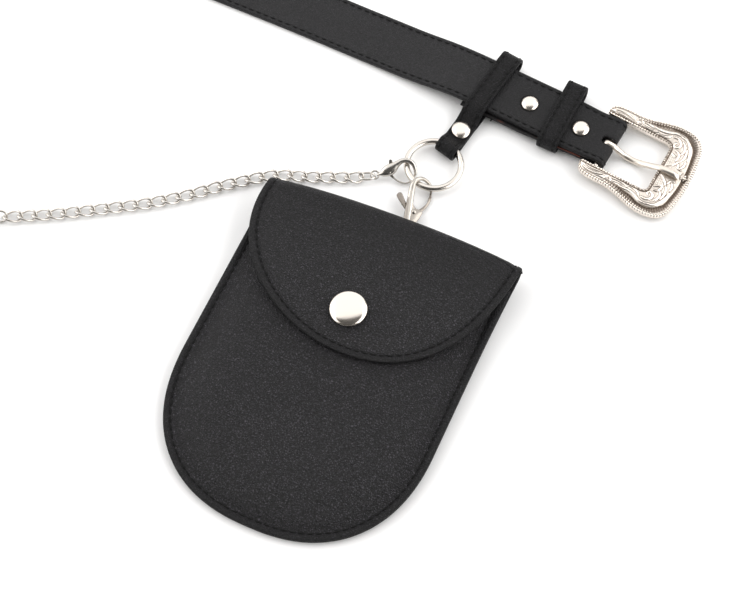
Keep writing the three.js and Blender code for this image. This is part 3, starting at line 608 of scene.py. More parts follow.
def round_path(corners, closed=False, between=8):
    """A smooth line through a few points."""
    p = np.asarray(corners, float)
    if closed:
        p = np.concatenate([p[-1:], p, p[:2]])
    else:
        p = np.concatenate([2 * p[:1] - p[1:2], p, 2 * p[-1:] - p[-2:-1]])
    share = np.linspace(0, 1, between, endpoint=False)[:, None]
    runs = []
    for a, b, c, d in zip(p, p[1:], p[2:], p[3:]):
        runs.append(0.5 * (2 * b + (c - a) * share + (2 * a - 5 * b + 4 * c - d) * share ** 2
                           + (3 * b - a - 3 * c + d) * share ** 3))
    line = np.concatenate(runs)
    return line if closed else np.concatenate([line, p[-2:-1]])


def turned(corners):
    """A smooth profile through the corners of a turned piece."""
    return even(round_path(corners), 0.12)


SNAP_X, SNAP_V = 0.6, 96.4


def on_snap(part):
    """From the snap's own axis to the table."""
    points, faces = part
    return tilted(points[:, 0] + SNAP_X, points[:, 1] + SNAP_V, points[:, 2]), faces


def above(level, profile):
    """A turned profile of (radius, height over a level)."""
    return [(radius, level + height) for radius, height in profile]


CAP_RADIUS = 7.8
dome = [(CAP_RADIUS * math.sin(a), FLAP_TOP + 1.0 + 1.85 * math.cos(a))
        for a in np.radians(np.linspace(0, 84, 24))]
cap_profile = dome + above(FLAP_TOP, [
    (CAP_RADIUS, 0.95), (CAP_RADIUS - 0.02, 0.5), (CAP_RADIUS - 0.35, 0.12), (CAP_RADIUS - 0.9, 0.05),
    (2.6, 0.05), (2.6, -1.1), (2.0, -1.1), (2.0, 0.8), (0, 0.8)])
smooth_mesh("snap_cap_dome", *on_snap(lathe(cap_profile, 96)), snap_nickel, "bright_nickel",
            stands_for=["snap_cap"])
STUD_FOOT = WALL + SEWN_GAP + CROWN
stud_profile = above(STUD_FOOT, [(0, -1.0), (4.6, -1.0), (5.0, -0.85), (5.0, -0.55), (4.6, -0.4), (1.9, -0.4),
                                 (1.65, -0.1)])
stud_profile += above(FLAP_TOP, [(1.5, -1.2), (1.45, -0.5), (1.65, -0.2), (1.7, 0), (1.55, 0.25), (1.1, 0.42),
                                 (0, 0.5)])
smooth_mesh("snap_stud_post", *on_snap(lathe(turned(stud_profile), 40)), snap_nickel, "bright_nickel",
            stands_for=["snap_stud"])


# ---------------------------------------------------------------- tab under the pouch
# A 1 mm strap of leather, sewn under the back panel, whose loop holds the trigger hook by its eye.

RIM_ANGLES = np.radians([66, 40, 14, -14, -40, -66])
RIM_ROUND = 0.45
BAND_INSETS = np.array([RIM_ROUND, 0.8, 1.1, 1.35, 1.55, 1.75, 1.95, 2.15, 2.4, 2.8, 3.4])
BAND_COLUMNS = 5


def band(centre, side, normal, half, thick, seam=None, closed=False):
    """A leather strap with rounded edges; side is its width's direction and normal its grain side's.

    A seam lies in a furrow, with the leather raised a little between it and the edge.
    """
    centre = np.asarray(centre, float)
    count = len(centre)
    half = np.broadcast_to(half, count).astype(float)[:, None]
    thick = np.broadcast_to(thick, count).astype(float)[:, None]
    inset = np.minimum(BAND_INSETS[None], half * 0.94)
    sink = 0 * inset
    if seam:
        sink = 0.16 * groove(inset - seam, 0.34) - 0.07 * groove(inset - 1.0, 0.4)
    inner = half - BAND_INSETS[-1]
    share = np.linspace(1, -1, BAND_COLUMNS + 2)[None, 1:-1]
    right = np.concatenate([half - inset, np.maximum(inner, 0) * share, inset[:, ::-1] - half], axis=1)
    grain = np.concatenate([thick / 2 - sink, np.repeat(thick / 2, share.shape[1], 1),
                            thick / 2 - sink[:, ::-1]], axis=1)
    rim_across = half - RIM_ROUND * (1 - np.cos(RIM_ANGLES))
    rim_height = thick / 2 * np.sin(RIM_ANGLES)
    across = np.concatenate([right, -rim_across, right[:, ::-1], rim_across[:, ::-1]], axis=1)
    height = np.concatenate([grain, rim_height, -thick / 2 + 0 * right, rim_height[:, ::-1]], axis=1)
    points = centre[:, None] + side[:, None] * across[..., None] + normal[:, None] * height[..., None]
    columns = across.shape[1]
    faces = quads(count, columns, wrap_rows=closed, wrap_columns=True)
    if not closed:
        faces += [tuple(range(columns)), tuple(range((count - 1) * columns, count * columns))]
    return points.reshape(-1, 3), faces


def band_seam(centre, side, normal, half, thick, seam, edge):
    """The line of a strap's seam on its grain side."""
    half = np.broadcast_to(half, len(centre))[:, None]
    thick = np.broadcast_to(thick, len(centre))[:, None]
    return centre + side * edge * (half - seam) + normal * (thick / 2 - 0.1), normal


def loop_frames(path):
    """Side and outward normals of a loop drawn as (y, z) in the plane of its strap's length."""
    flat = np.asarray(path, float)
    tangent = unit(np.roll(flat, -1, axis=0) - np.roll(flat, 1, axis=0))
    normal = np.stack([0 * tangent[:, 0], tangent[:, 1], -tangent[:, 0]], axis=1)
    centre = np.stack([0 * flat[:, 0], flat[:, 0], flat[:, 1]], axis=1)
    side = np.tile([1.0, 0, 0], (len(flat), 1))
    return centre, side, normal


TAB_X, TAB_HALF, TAB_THICK = 7.9, 4.2, 1.0
TAB_BAR, TAB_BAR_Z, TAB_BEND = 135.5, -2.35, 1.55
TAB_UPPER, TAB_LOWER, TAB_STATIONS = -0.8, -1.82, [105, 115, 125, 131]
tab_line = [(v, TAB_UPPER) for v in TAB_STATIONS]
tab_line += [(TAB_BAR + TAB_BEND * math.cos(a), TAB_BAR_Z + TAB_BEND * math.sin(a))
             for a in np.radians(np.linspace(100, -126, 30))]
tab_line += [(v, TAB_LOWER) for v in TAB_STATIONS[::-1]]
tab_line = even(round_path(tab_line, between=4), 0.8)
tab_tangent = unit(np.gradient(tab_line, axis=0))
tab_centre = np.stack([np.full(len(tab_line), TAB_X), tab_line[:, 0], tab_line[:, 1]], axis=1)
tab_normal = np.stack([0 * tab_tangent[:, 0], -tab_tangent[:, 1], tab_tangent[:, 0]], axis=1)
tab_side = np.tile([1.0, 0, 0], (len(tab_line), 1))
tab_points, tab_faces = band(tab_centre, tab_side, tab_normal, TAB_HALF, TAB_THICK)
smooth_mesh("hook_tab", tilted(*tab_points.T), tab_faces, belt_leather, "belt_leather",
            stands_for=["pouch_tab"])


# ---------------------------------------------------------------- O-ring
# 2.8 mm round steel wire, bent into a ring, butt-welded, tumbled and nickel plated.

ring_nickel = metal("ring_nickel", (0.66, 0.62, 0.57, 1), 0.2)


def circle(radius, count):
    angle = np.arange(count) / count * 2 * math.pi
    return np.stack([radius * np.cos(angle), radius * np.sin(angle), 0 * angle], axis=1)


RING_RADIUS, RING_WIRE = 11.75, 1.4
ring_line = circle(RING_RADIUS, 120) + RING_CENTRE
smooth_mesh("wire_ring", *tube(ring_line, RING_WIRE, RING_WIRE, (0, 0, 1), sides=28, closed=True),
            ring_nickel, "chain_nickel", stands_for=["o_ring"])


# ---------------------------------------------------------------- curb chain
# Twisted links of 1 mm steel wire, closed and nickel plated; the last link at each end is a plain oval.

chain_nickel = metal("chain_nickel", (0.60, 0.57, 0.53, 1), 0.22)


def link_line(half_length, half_width, twist):
    """The wire's line in a link: a squarish oval, turned along its length by the twist to each side."""
    angle = np.arange(64) / 64 * 2 * math.pi
    along = np.sign(np.cos(angle)) * np.abs(np.cos(angle)) ** (2 / 2.3)
    width = half_width * np.sign(np.sin(angle)) * np.abs(np.sin(angle)) ** (2 / 2.3)
    return np.stack([half_length * along, width * np.cos(twist * along),
                     width * np.sin(twist * along)], axis=1)


def own_frame(name):
    """Middle and axes of a CAD link, long axis first, in table millimetres."""
    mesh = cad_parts[name].data
    spots = np.empty(len(mesh.vertices) * 3)
    mesh.vertices.foreach_get("co", spots)
    spots = np.unique((spots.reshape(-1, 3) * 1000 - datum).round(4), axis=0)
    axes = np.linalg.svd(spots - spots.mean(axis=0), full_matrices=False)[2]
    axes[2] = np.cross(axes[0], axes[1])
    return spots.mean(axis=0), axes


LINKS = 27
PLAIN_LINK, PLAIN_WIRE = link_line(3.3, 2.5, 0.0), 0.5
CURB_LINK, CURB_WIRE = link_line(3.95, 2.35, math.pi / 4), 0.58
for number in range(1, LINKS + 1):
    cad_link = f"chain_link_{number:02d}"
    middle, axes = own_frame(cad_link)
    line, wire = (PLAIN_LINK, PLAIN_WIRE) if number in (1, LINKS) else (CURB_LINK, CURB_WIRE)
    spin = unit(np.cross(np.roll(line, -1, axis=0) - np.roll(line, 1, axis=0), line))
    link_points, link_faces = tube(line, wire, wire, spin, closed=True)
    smooth_mesh(f"curb_link_{number:02d}", link_points @ axes + middle, link_faces, chain_nickel,
                "chain_nickel", stands_for=[cad_link])


# ---------------------------------------------------------------- lobster clasps
# Die-cast zinc claws, nickel plated: a curved body with an eye for the chain, and a sprung lever on a pin
# whose nose closes the claw.  The one at the chain's far end is alike.

CLASP_HEIGHT = 2.9
CLASP_TILT = math.radians(34)
clasp_nickel = metal("clasp_nickel", (0.56, 0.53, 0.49, 1), 0.24)


def turn_z(angle):
    c, s = math.cos(angle), math.sin(angle)
    return np.array([[c, -s, 0], [s, c, 0], [0, 0, 1.0]])


def turn_x(angle):
    c, s = math.cos(angle), math.sin(angle)
    return np.array([[1.0, 0, 0], [0, c, -s], [0, s, c]])


def stacked(rings):
    """A closed piece from rings of equal count, with a flat face at each end."""
    count, last = len(rings[0]), (len(rings) - 1) * len(rings[0])
    faces = quads(len(rings), count, wrap_columns=True)
    faces += [tuple(range(count)), tuple(range(last, last + count))]
    return np.concatenate(rings), faces


def plate(outline, low, high, bevel):
    """A flat piece with softened edges, from the corners of a closed, rounded outline."""
    outline = round_path(outline, closed=True)
    line = even(np.concatenate([outline, outline[:1]]), 0.35)[:-1]
    tangent = unit(np.roll(line, -1, axis=0) - np.roll(line, 1, axis=0))
    inward = np.stack([-tangent[:, 1], tangent[:, 0]], axis=1)
    area = np.sum(line[:, 0] * np.roll(line[:, 1], -1) - np.roll(line[:, 0], -1) * line[:, 1])
    inward *= 1 if area > 0 else -1
    rings = [np.column_stack([line + inward * inset, np.full(len(line), height)]) for inset, height in
             ((bevel, low), (0.35 * bevel, low + 0.3 * bevel), (0, low + bevel), (0, high - bevel),
              (0.35 * bevel, high - 0.3 * bevel), (bevel, high))]
    return stacked(rings)


def button(x, y, low, radius, rise):
    """A small domed rivet head."""
    profile = [(0, low)] + [(radius * math.cos(a), low + rise * math.sin(a)) for a in
                            np.radians(np.linspace(0, 90, 9))]
    points, faces = lathe(profile, 24)
    return points + (x, y, 0), faces


def spread(values, count):
    """Values spread smoothly over a number of stations."""
    line = round_path([[v] for v in values], between=12)[:, 0]
    return np.interp(np.linspace(0, 1, count), np.linspace(0, 1, len(line)), line)


def mirrored_below(part):
    points, faces = part
    return points * (1, 1, -1), faces


def claw():
    """The claw in its own plane: the eye at the origin, the pin at its heel, the hook at its end."""
    spine = round_path([(2.0, 0.2, 0), (4.2, 1.1, 0), (7.0, 2.5, 0), (9.6, 4.6, 0), (11.7, 5.9, 0),
                        (14.0, 6.1, 0), (16.2, 4.9, 0), (17.3, 2.7, 0), (17.5, 0.6, 0), (17.1, -0.7, 0)])
    across = spread([0.7, 2.1, 2.5, 1.5, 1.1, 1.05, 1.0, 0.85, 0.65, 0.45], len(spine))
    thick = spread([0.7, 1.4, 1.5, 1.3, 1.1, 1.0, 0.9, 0.8, 0.65, 0.45], len(spine))
    body = tube(spine, across, thick, (0, 0, 1), sides=24)
    neck = tube([(1.3, 0, 0), (2.2, 0.3, 0), (3.4, 0.8, 0)], [0.55, 0.75, 1.2], [0.5, 0.7, 1.0], (0, 0, 1))
    eye = tube(circle(1.75, 40), 0.38, 0.38, (0, 0, 1), sides=12, closed=True)
    pin_head = button(6.2, 1.1, low=1.2, radius=0.75, rise=0.3)
    return [body, neck, eye, pin_head, mirrored_below(pin_head)]


def claw_lever():
    """The lever in the same plane: a thumb blade on the pin and the gate that closes the claw."""
    blade = plate([(5.2, 0.4), (6.2, -0.3), (8.0, -1.8), (8.6, -1.2), (7.2, 0.6), (7.3, 2.6), (7.7, 5.6),
                   (6.9, 6.6), (6.1, 6.2), (5.9, 3.2), (5.1, 1.7)], low=-0.25, high=0.25, bevel=0.08)
    gate_line = round_path([(7.9, -1.3, 0), (10.4, -3.0, 0), (13.2, -3.7, 0), (15.9, -2.8, 0)])
    gate = tube(gate_line, 0.38, spread([0.3, 0.5, 0.45, 0.35], len(gate_line)), (0, 0, 1))
    return [blade, gate]


def placed(parts, rotation, origin):
    points, faces = together(parts)
    return points @ rotation.T + np.asarray(origin, float), faces


clasp_turn = turn_z(math.radians(24.4)) @ turn_x(CLASP_TILT)
clasp_eye = (-17.5, 92.6, CLASP_HEIGHT)
smooth_mesh("clasp_claw", *placed(claw(), clasp_turn, clasp_eye), clasp_nickel, "chain_nickel",
            stands_for=["chain_clasp_body"])
smooth_mesh("clasp_lever", *placed(claw_lever(), clasp_turn, clasp_eye), clasp_nickel, "chain_nickel",
            body="chain_clasp_lever", stands_for=["chain_clasp_lever"])

last_middle, before_middle = (own_frame(f"chain_link_{number:02d}")[0] for number in (LINKS, LINKS - 1))
away_run = unit((last_middle - before_middle) * (1, 1, 0))
EYE_STEP = 3.36
end_eye = last_middle + away_run * EYE_STEP
end_eye[2] = CLASP_HEIGHT
end_turn = turn_z(math.atan2(away_run[1], away_run[0])) @ turn_x(CLASP_TILT)
smooth_mesh("end_clasp", *placed(claw() + claw_lever(), end_turn, end_eye), clasp_nickel, "chain_nickel",
            stands_for=["chain_end_clasp"])


# ---------------------------------------------------------------- trigger hook
# A die-cast hook between the pouch and the O-ring: a round-backed bow on a flat plate, a wire eye in the
# tab, and a flat sprung trigger riveted on the far side, with a thumb tab and a gate that shuts the bow.

hook_nickel = metal("hook_nickel", (0.47, 0.44, 0.40, 1), 0.26)
hook_turn = turn_z(math.radians(102.4))
hook_origin = (4.3, 84, 0)
PLATE_TILT, PLATE_HEIGHT = turn_x(math.radians(15)), 4.2
PIN_X, PIN_Y = -2.3, -0.5


def on_plate(part):
    """From the hook's flat plate to the hook's own frame."""
    points, faces = part
    return points @ PLATE_TILT.T + (0, 0, PLATE_HEIGHT), faces


bow_line = round_path([(-7.0, 1.4, 4.6), (-1.5, 1.7, 4.8), (3.5, 2.0, 5.0), (7.5, 2.2, 5.5),
                       (10.2, 2.1, 6.15), (12.2, 1.3, 6.3), (13.8, -0.3, 5.5), (14.5, -2.0, 3.9),
                       (14.3, -3.6, 2.3), (13.5, -4.8, 1.2), (12.7, -5.4, 0.95)])
bow_width = spread([1.5, 1.5, 1.35, 1.1, 0.85, 0.8, 0.8, 0.75], len(bow_line))
bow = tube(bow_line, bow_width, np.minimum(bow_width, 1.0), (0, 0, 1), sides=20)
hook_plate = plate([(4.6, 3.2), (-6, 3.1), (-9.4, 1.5), (-9.4, -1.1), (-5.4, -3.0), (-1.8, -4.2),
                    (-0.6, -3.3), (-0.3, -0.9), (2.2, 1.0), (4.6, 1.6)], low=-1.0, high=1.0, bevel=0.3)
neck_line = round_path([(-8.6, 0.2, 4.1), (-10.4, 0.2, 3.6), (-12.4, 0.1, 2.3)])
hook_neck = tube(neck_line, 1.2, 0.9, (0, 0, 1), sides=16)
eye_line = round_path([(3.4, 4.4, 0), (3.6, 0, 0), (3.4, -4.4, 0), (2.6, -5.3, 0), (-2.6, -5.3, 0),
                       (-3.5, -4.4, 0), (-3.5, 4.4, 0), (-2.6, 5.3, 0), (2.6, 5.3, 0)], closed=True)
eye_points, eye_faces = tube(eye_line, 0.72, 0.72, (0, 0, 1), sides=16, closed=True)
hook_eye = (eye_points @ turn_z(math.radians(-12.4)).T + (-15.9, -0.2, 2.3), eye_faces)
hook_rivet = on_plate(button(PIN_X, PIN_Y, low=0.95, radius=1.15, rise=0.7))
pin_points, pin_faces = lathe([(0, -2.3), (0.7, -2.3), (0.7, 0.5), (0, 0.5)], 24)
rivet_pin = on_plate((pin_points + (PIN_X, PIN_Y, 0), pin_faces))
hook_parts = [(bow, 0), (on_plate(hook_plate), 0.5), (hook_neck, 0), (hook_eye, 0), (hook_rivet, 0.2),
              (rivet_pin, 1)]  # each with how dull it is
smooth_mesh("trigger_hook", *placed([part for part, _ in hook_parts], hook_turn, hook_origin), hook_nickel,
            "chain_nickel", stands_for=["pouch_hook_body"],
            deep=np.concatenate([np.full(len(part[0]), dull) for part, dull in hook_parts]))
lever_plate = plate([(-3.9, -1.0), (-3.2, -2.2), (-1.0, -3.4), (1.2, -5.0), (4.6, -6.6), (8.2, -7.0),
                     (8.2, -6.0), (5.0, -5.6), (2.0, -3.9), (0.4, -2.2), (0.0, 0.2), (2.2, 3.4),
                     (6.0, 6.2), (4.4, 8.0), (1.3, 5.5), (-2.6, 1.4), (-3.8, 0.4)],
                    low=-2.1, high=-1.3, bevel=0.15)
lever_nose = tube([(7.6, -6.5, -1.7), (9.4, -6.4, -1.7), (11.2, -6.3, -1.7)], 0.45, 0.4, (0, 0, 1))
lever_points, lever_faces = placed([on_plate(lever_plate), on_plate(lever_nose)], hook_turn, hook_origin)
smooth_mesh("trigger", lever_points, lever_faces, hook_nickel, "chain_nickel", body="pouch_hook_lever",
            stands_for=["pouch_hook_lever"], deep=np.full(len(lever_points), 0.8))


# ---------------------------------------------------------------- belt
# A 25 mm strap of smooth black leather, edge-sewn, turned round the buckle's bar through a slot for the
# prong and riveted to its own tail, whose raw reddish edge shows on the near side.

BAR_X, BAR_Y, BAR_HEIGHT, BAR_HEADING = 69.15, 147.4, 4.05, math.radians(-6.2)
STRAP_THICK, FOLD_THICK, FOLD_INNER, FOLD_WIDTH = 2.2, 2.0, 1.4, 24
STRAP_END, TIP_FROM, TIP_LENGTH = 222, 206, 16.1
TAIL_THIN, TAIL_END, TAIL_SHIFT, TAIL_SKIVE = 0.6, 66, 0.9, 6
ON_HANGER = 1.7  # how far the hanger under the strap holds it off the table
HEADING_BACK = [0, 30, 52, 92, 130, 160, 240]
HEADING = np.radians([-6.2, -5.6, -5.6, -4.2, -2.8, -1.5, -0.6])
BELT_STEP = 0.25
belt_back = np.arange(0, STRAP_END + BELT_STEP, BELT_STEP)
belt_heading = np.interp(belt_back, HEADING_BACK, HEADING)
belt_x = BAR_X - np.r_[0, np.cumsum(np.cos(belt_heading[1:]) * BELT_STEP)]
belt_y = BAR_Y - np.r_[0, np.cumsum(np.sin(belt_heading[1:]) * BELT_STEP)]


def ease(value, low, high):
    share = np.clip((value - low) / (high - low), 0, 1)
    return share * share * (3 - 2 * share)


def strap_place(back, height):
    """Middle of the strap and its sideways direction, at distances back from the bar."""
    heading = np.interp(back, belt_back, belt_heading)
    x, y = np.interp(back, belt_back, belt_x), np.interp(back, belt_back, belt_y)
    centre = np.stack(np.broadcast_arrays(x, y, height), axis=1)
    return centre, np.stack([-np.sin(heading), np.cos(heading), 0 * heading], axis=1)


def strap_lift(back):
    over_hanger = ON_HANGER * (1 - ease(back, 74, 132))
    over_tail = (STRAP_THICK + 0.4) * (1 - ease(back, TAIL_END, 100))
    return over_hanger + over_tail


def strap_half(back):
    return (FOLD_WIDTH + ease(back, 6, 24) + 0.9 * ease(back, TAIL_END, 88)) / 2


near_tip = STRAP_END - np.r_[0, 0.35, 0.9, 1.7, 2.7, 4.0, 5.5, 7.2, 9.2, 11.5, 14]
upper_back = np.r_[near_tip, np.arange(TIP_FROM, 9, -2.0), 8, 6, 4, 2.4, 1.2]
to_bar = ease(upper_back, 9, 0) * (BAR_HEIGHT + FOLD_INNER + FOLD_THICK / 2 - strap_lift(0) - STRAP_THICK / 2)
upper_thick = STRAP_THICK - (STRAP_THICK - FOLD_THICK) * ease(upper_back, 12, 2)
upper, upper_side = strap_place(upper_back, strap_lift(upper_back) + STRAP_THICK / 2 + to_bar)
pointed = np.sqrt(np.maximum(0.004, 1 - (np.maximum(0, upper_back - TIP_FROM) / TIP_LENGTH) ** 2))
bar_centre, bar_side = strap_place(np.zeros(1), BAR_HEIGHT)
forward = np.array([math.cos(BAR_HEADING), math.sin(BAR_HEADING), 0])
round_bar = np.radians(np.linspace(84, -84, 27))[:, None]
fold_normal = forward * np.cos(round_bar) + np.array([0, 0, 1.0]) * np.sin(round_bar)
belt_fold = bar_centre + fold_normal * (FOLD_INNER + FOLD_THICK / 2)
tail_back = np.r_[1.2, 2.4, 4, 6, 8, np.arange(10, 61, 2.0), 62, 64, TAIL_END]
skived = np.clip((tail_back - TAIL_END + TAIL_SKIVE) / TAIL_SKIVE, 0, 1)
tail_thick = STRAP_THICK - (STRAP_THICK - TAIL_THIN) * skived
tail_shift = np.interp(tail_back, [8, 26, 36, TAIL_END], [0, 0.2, TAIL_SHIFT, TAIL_SHIFT])
from_bar = ease(tail_back, 9, 0) * (BAR_HEIGHT - FOLD_INNER - FOLD_THICK / 2 - ON_HANGER - STRAP_THICK / 2)
tail, tail_side = strap_place(tail_back, ON_HANGER + tail_thick / 2 + from_bar)
tail = tail - tail_side * tail_shift[:, None]
belt_centre = np.concatenate([upper, belt_fold, tail])
belt_side = np.concatenate([upper_side, np.repeat(bar_side, len(round_bar), 0), tail_side])
belt_half = np.concatenate([strap_half(upper_back) * pointed, np.full(len(round_bar), FOLD_WIDTH / 2),
                            strap_half(tail_back)])
belt_thick = np.concatenate([upper_thick, np.full(len(round_bar), FOLD_THICK), tail_thick])
belt_normal = unit(np.cross(unit(np.gradient(belt_centre, axis=0)), belt_side))
SEAM = 1.9
belt_points, belt_faces = band(belt_centre, belt_side, belt_normal, belt_half, belt_thick, seam=SEAM)


def punch(piece, tools):
    """Cuts closed tools out of a piece."""
    for points, faces in tools:
        tool = bpy.data.objects.new("tool", welded("tool", points, faces, 1e-6))
        scene.collection.objects.link(tool)
        cut = piece.modifiers.new("cut", "BOOLEAN")
        cut.operation, cut.solver, cut.object = "DIFFERENCE", "EXACT", tool
        bpy.context.view_layer.update()
        whole = bpy.data.meshes.new_from_object(piece.evaluated_get(bpy.context.evaluated_depsgraph_get()))
        piece.modifiers.clear()
        piece.data = whole
        bpy.data.objects.remove(tool)


TOOL_LOW, TOOL_HIGH = -2, 14
SLOT_HALF, SLOT_REACH = 1.8, 12


def through(outline):
    """A tool of the outline's shape that goes right through the belt."""
    return stacked([np.column_stack([outline, np.full(len(outline), level)])
                    for level in (TOOL_LOW, TOOL_HIGH)])


def slot_tool(start):
    """The prong's slot: it has a round end at its start and runs forward past the fold."""
    rim = [(SLOT_HALF * math.cos(a), SLOT_HALF * math.sin(a)) for a in np.radians(np.linspace(90, 270, 15))]
    rim += [(SLOT_REACH, -SLOT_HALF), (SLOT_REACH, SLOT_HALF)]
    return through(np.array([start[:2] + forward[:2] * u + bar_side[0][:2] * v for u, v in rim]))


painted_buckle_end_shade = 0.95 * ease(belt_points[:, 0], 2, 26)  # painted shade: darker towards the buckle, where the light falls off
belt_piece = smooth_mesh("belt", belt_points, belt_faces, belt_leather, "belt_leather",
                         stands_for=["belt_strap", "belt_buckle_end"], deep=painted_buckle_end_shade)
PRONG_ASIDE = -0.8
TIP_HOLES, HOLE_RADIUS = np.array([176.0, 198.0]), 2.0
slot_start = bar_centre[0] - forward * FOLD_INNER + bar_side[0] * PRONG_ASIDE
punch(belt_piece, [slot_tool(slot_start)]
      + [through((circle(HOLE_RADIUS, 32) + place)[:, :2]) for place in strap_place(TIP_HOLES, 0.0)[0]])


# ---------------------------------------------------------------- belt stitching
# The same black thread runs 2 mm in from both edges of the upper strap, round the bar and into the tail.

BAND_PITCH, BELT_STITCH, BAND_THREAD = 3.7, 2.75, 0.38
sewn = slice(8, len(upper_back) + len(round_bar) + 4)
belt_seams = [band_seam(belt_centre, belt_side, belt_normal, belt_half, belt_thick, SEAM, edge)
              for edge in (1, -1)]
sew("belt_stitches", [(points[sewn], normals[sewn]) for points, normals in belt_seams], BAND_PITCH,
    BELT_STITCH, "belt_leather", radius=BAND_THREAD)

raw_edge = Finish("raw_edge", Base_Color=(0.16, 0.035, 0.016, 1), Roughness=0.75)
fibres = raw_edge.node("TexNoise", {}, {"Vector": raw_edge.place(), "Scale": 500.0})
raw_edge.drive("Base Color", raw_edge.blend((fibres * 0.6 + 0.4) * (1 - raw_edge.deep()),
                                            (0.006, 0.004, 0.004, 1), (0.15, 0.035, 0.018, 1)))
bare = (tail_back > 7) & (tail_back < 60)
bare_side = tail_side * (strap_half(tail_back) - 0.12)[:, None]
bare_line = (tail - bare_side)[bare] + (0, 0, STRAP_THICK / 2 + 0.02)
edge_points, edge_faces = tube(bare_line, 0.34, 0.26, (0, 0, 1.0), sides=10)
nick = groove(edge_points[:, 0] - 22.5, 0.6)
inked = 1 - np.maximum(ease(edge_points[:, 0], 36, 54), nick)
smooth_mesh("belt_raw_edge", edge_points, edge_faces, raw_edge, "belt_leather", deep=inked)
THREAD_ENDS = [  # thickness, then the line
    (0.28, [(17.6, 141.2, 3.4), (17.9, 139.9, 3.0), (17.7, 138.4, 2.2)]),
    (0.2, [(19.4, 140.9, 3.0), (18.9, 140.2, 2.6), (18.3, 139.6, 2.4)])]
thread_ends = [tube(round_path(line), thick, thick, (1.0, 0, 0), sides=8) for thick, line in THREAD_ENDS]
smooth_mesh("loose_belt_threads", *together(thread_ends), thread, "belt_leather")


# ---------------------------------------------------------------- rivets
# Nickel-plated double-cap rivets: a domed head 7.5 mm across over a shank and a flat washer. Each head is
# pressed into the leather; a thin black ring round it is painted shade in the hollow that this leaves.

rivet_nickel = metal("rivet_nickel", (0.76, 0.70, 0.63, 1), 0.26)


def rivet(top, bottom, size=1.0):
    """A rivet whose head sits on the top level and whose washer hangs under the bottom level."""
    head = above(top, [(0, 1.6), (0.9, 1.56), (1.8, 1.42), (2.6, 1.16), (3.2, 0.82), (3.6, 0.46),
                       (3.75, 0.22), (3.7, 0.05), (3.5, 0), (1.3, 0)])
    head = [(radius * size, height) for radius, height in turned(head)]
    foot = above(bottom, [(1.3, 0), (2.9, 0), (3.0, -0.15), (2.9, -0.45), (2.6, -0.5), (0, -0.5)])
    return lathe(head + foot)


RIVETS = [("belt_rivet_1", 13.5, -0.6), ("belt_rivet_2", 38.5, -0.3)]  # distance back from the bar, and aside
SHADE_RING_RADIUS = 4.05
doubled_top = strap_lift(0) + STRAP_THICK
for cad_rivet, back, aside in RIVETS:
    place, sideways = strap_place(np.array([back]), 0.0)
    head_place = place[0] + sideways[0] * aside
    rivet_points, rivet_faces = rivet(doubled_top + 0.05, ON_HANGER)
    smooth_mesh(f"{cad_rivet}_cap", rivet_points + head_place, rivet_faces, rivet_nickel, "bright_nickel",
                stands_for=[cad_rivet])
    # painted shade: a thin black ring on the leather round the head, in the thread's finish
    shade_ring = circle(SHADE_RING_RADIUS, 48) + head_place + (-0.2, 0.1, doubled_top - 0.02)
    smooth_mesh(f"{cad_rivet}_seat", *tube(shade_ring, 0.32, 0.14, (0, 0, 1.0), sides=8, closed=True), thread,
                "belt_leather")


# ---------------------------------------------------------------- hanger
# A narrow strap of the belt's leather, sewn along both edges, that goes round the belt and the O-ring; one
# rivet joins its layers between the two.

HANGER_X, HANGER_Y, HANGER_LEAN, HANGER_SKEW, HANGER_HALF = 10.4, 143.5, math.radians(-9.5), 0.12, 4.8
BAND_THICK, BAND_SEAM, BAND_STITCH, BAND_DULL = 1.4, 1.7, 2.7, 0.4
hanger_side_view = round_path([
    (-29.5, 3.5), (-28.9, 2.1), (-27.6, 1.3), (-26, 1.1), (-22.5, 1.2), (-20.4, 1.3), (-16, 1.3),
    (-12, 1.3), (-8, 0.72), (0, 0.7), (10, 0.7), (20, 0.7), (25.8, 0.75), (27.6, 1.6), (28.2, 3.4),
    (28.0, 5.6), (26.7, 7.0), (24.2, 7.5), (16, 7.5), (8, 7.5), (0, 7.5), (-2.8, 7.4), (-5.8, 6.5),
    (-8.7, 4.4), (-12, 2.75), (-16, 2.7), (-20.4, 2.7), (-22.9, 4.1), (-24.9, 5.5), (-26.5, 5.9),
    (-28.1, 5.5), (-29.2, 4.6)], closed=True, between=6)
hanger_side_view = even(np.concatenate([hanger_side_view, hanger_side_view[:1]]), 0.8)[:-1]


def on_hanger(points):
    """From the hanger's own frame to the table; its ring end is a little skewed."""
    points = np.asarray(points, float)
    skewed = points[..., 1] - HANGER_SKEW * points[..., 0] * ease(-points[..., 1], 12, 22)
    flat = np.stack([points[..., 0], skewed, points[..., 2]], axis=-1)
    return flat @ turn_z(HANGER_LEAN).T + (HANGER_X, HANGER_Y, 0)


band_leather = leather("band_leather", tone=0.003, grain=0.8, relief=1.0, roughness=0.42, crest_highlight=9.0,
                       gloss=1.3)


def sewn_loop(name, side_view, half, mapping, stands_for):
    """A closed loop of strap, sewn along both edges, from its line seen along its width."""
    centre, across, normal = loop_frames(side_view)
    points, faces = band(centre, across, normal, half, BAND_THICK, seam=BAND_SEAM, closed=True)
    smooth_mesh(name, mapping(points), faces, band_leather, "belt_leather", stands_for=[stands_for],
                deep=np.full(len(points), BAND_DULL))
    runs = []
    for edge in (1, -1):
        points, normals = band_seam(centre, across, normal, half, BAND_THICK, BAND_SEAM, edge)
        on = mapping(points)
        runs.append((on, unit(mapping(points + normals) - on)))
    sew(f"{name}_stitches", runs, BAND_PITCH, BAND_STITCH, "belt_leather", radius=BAND_THREAD)


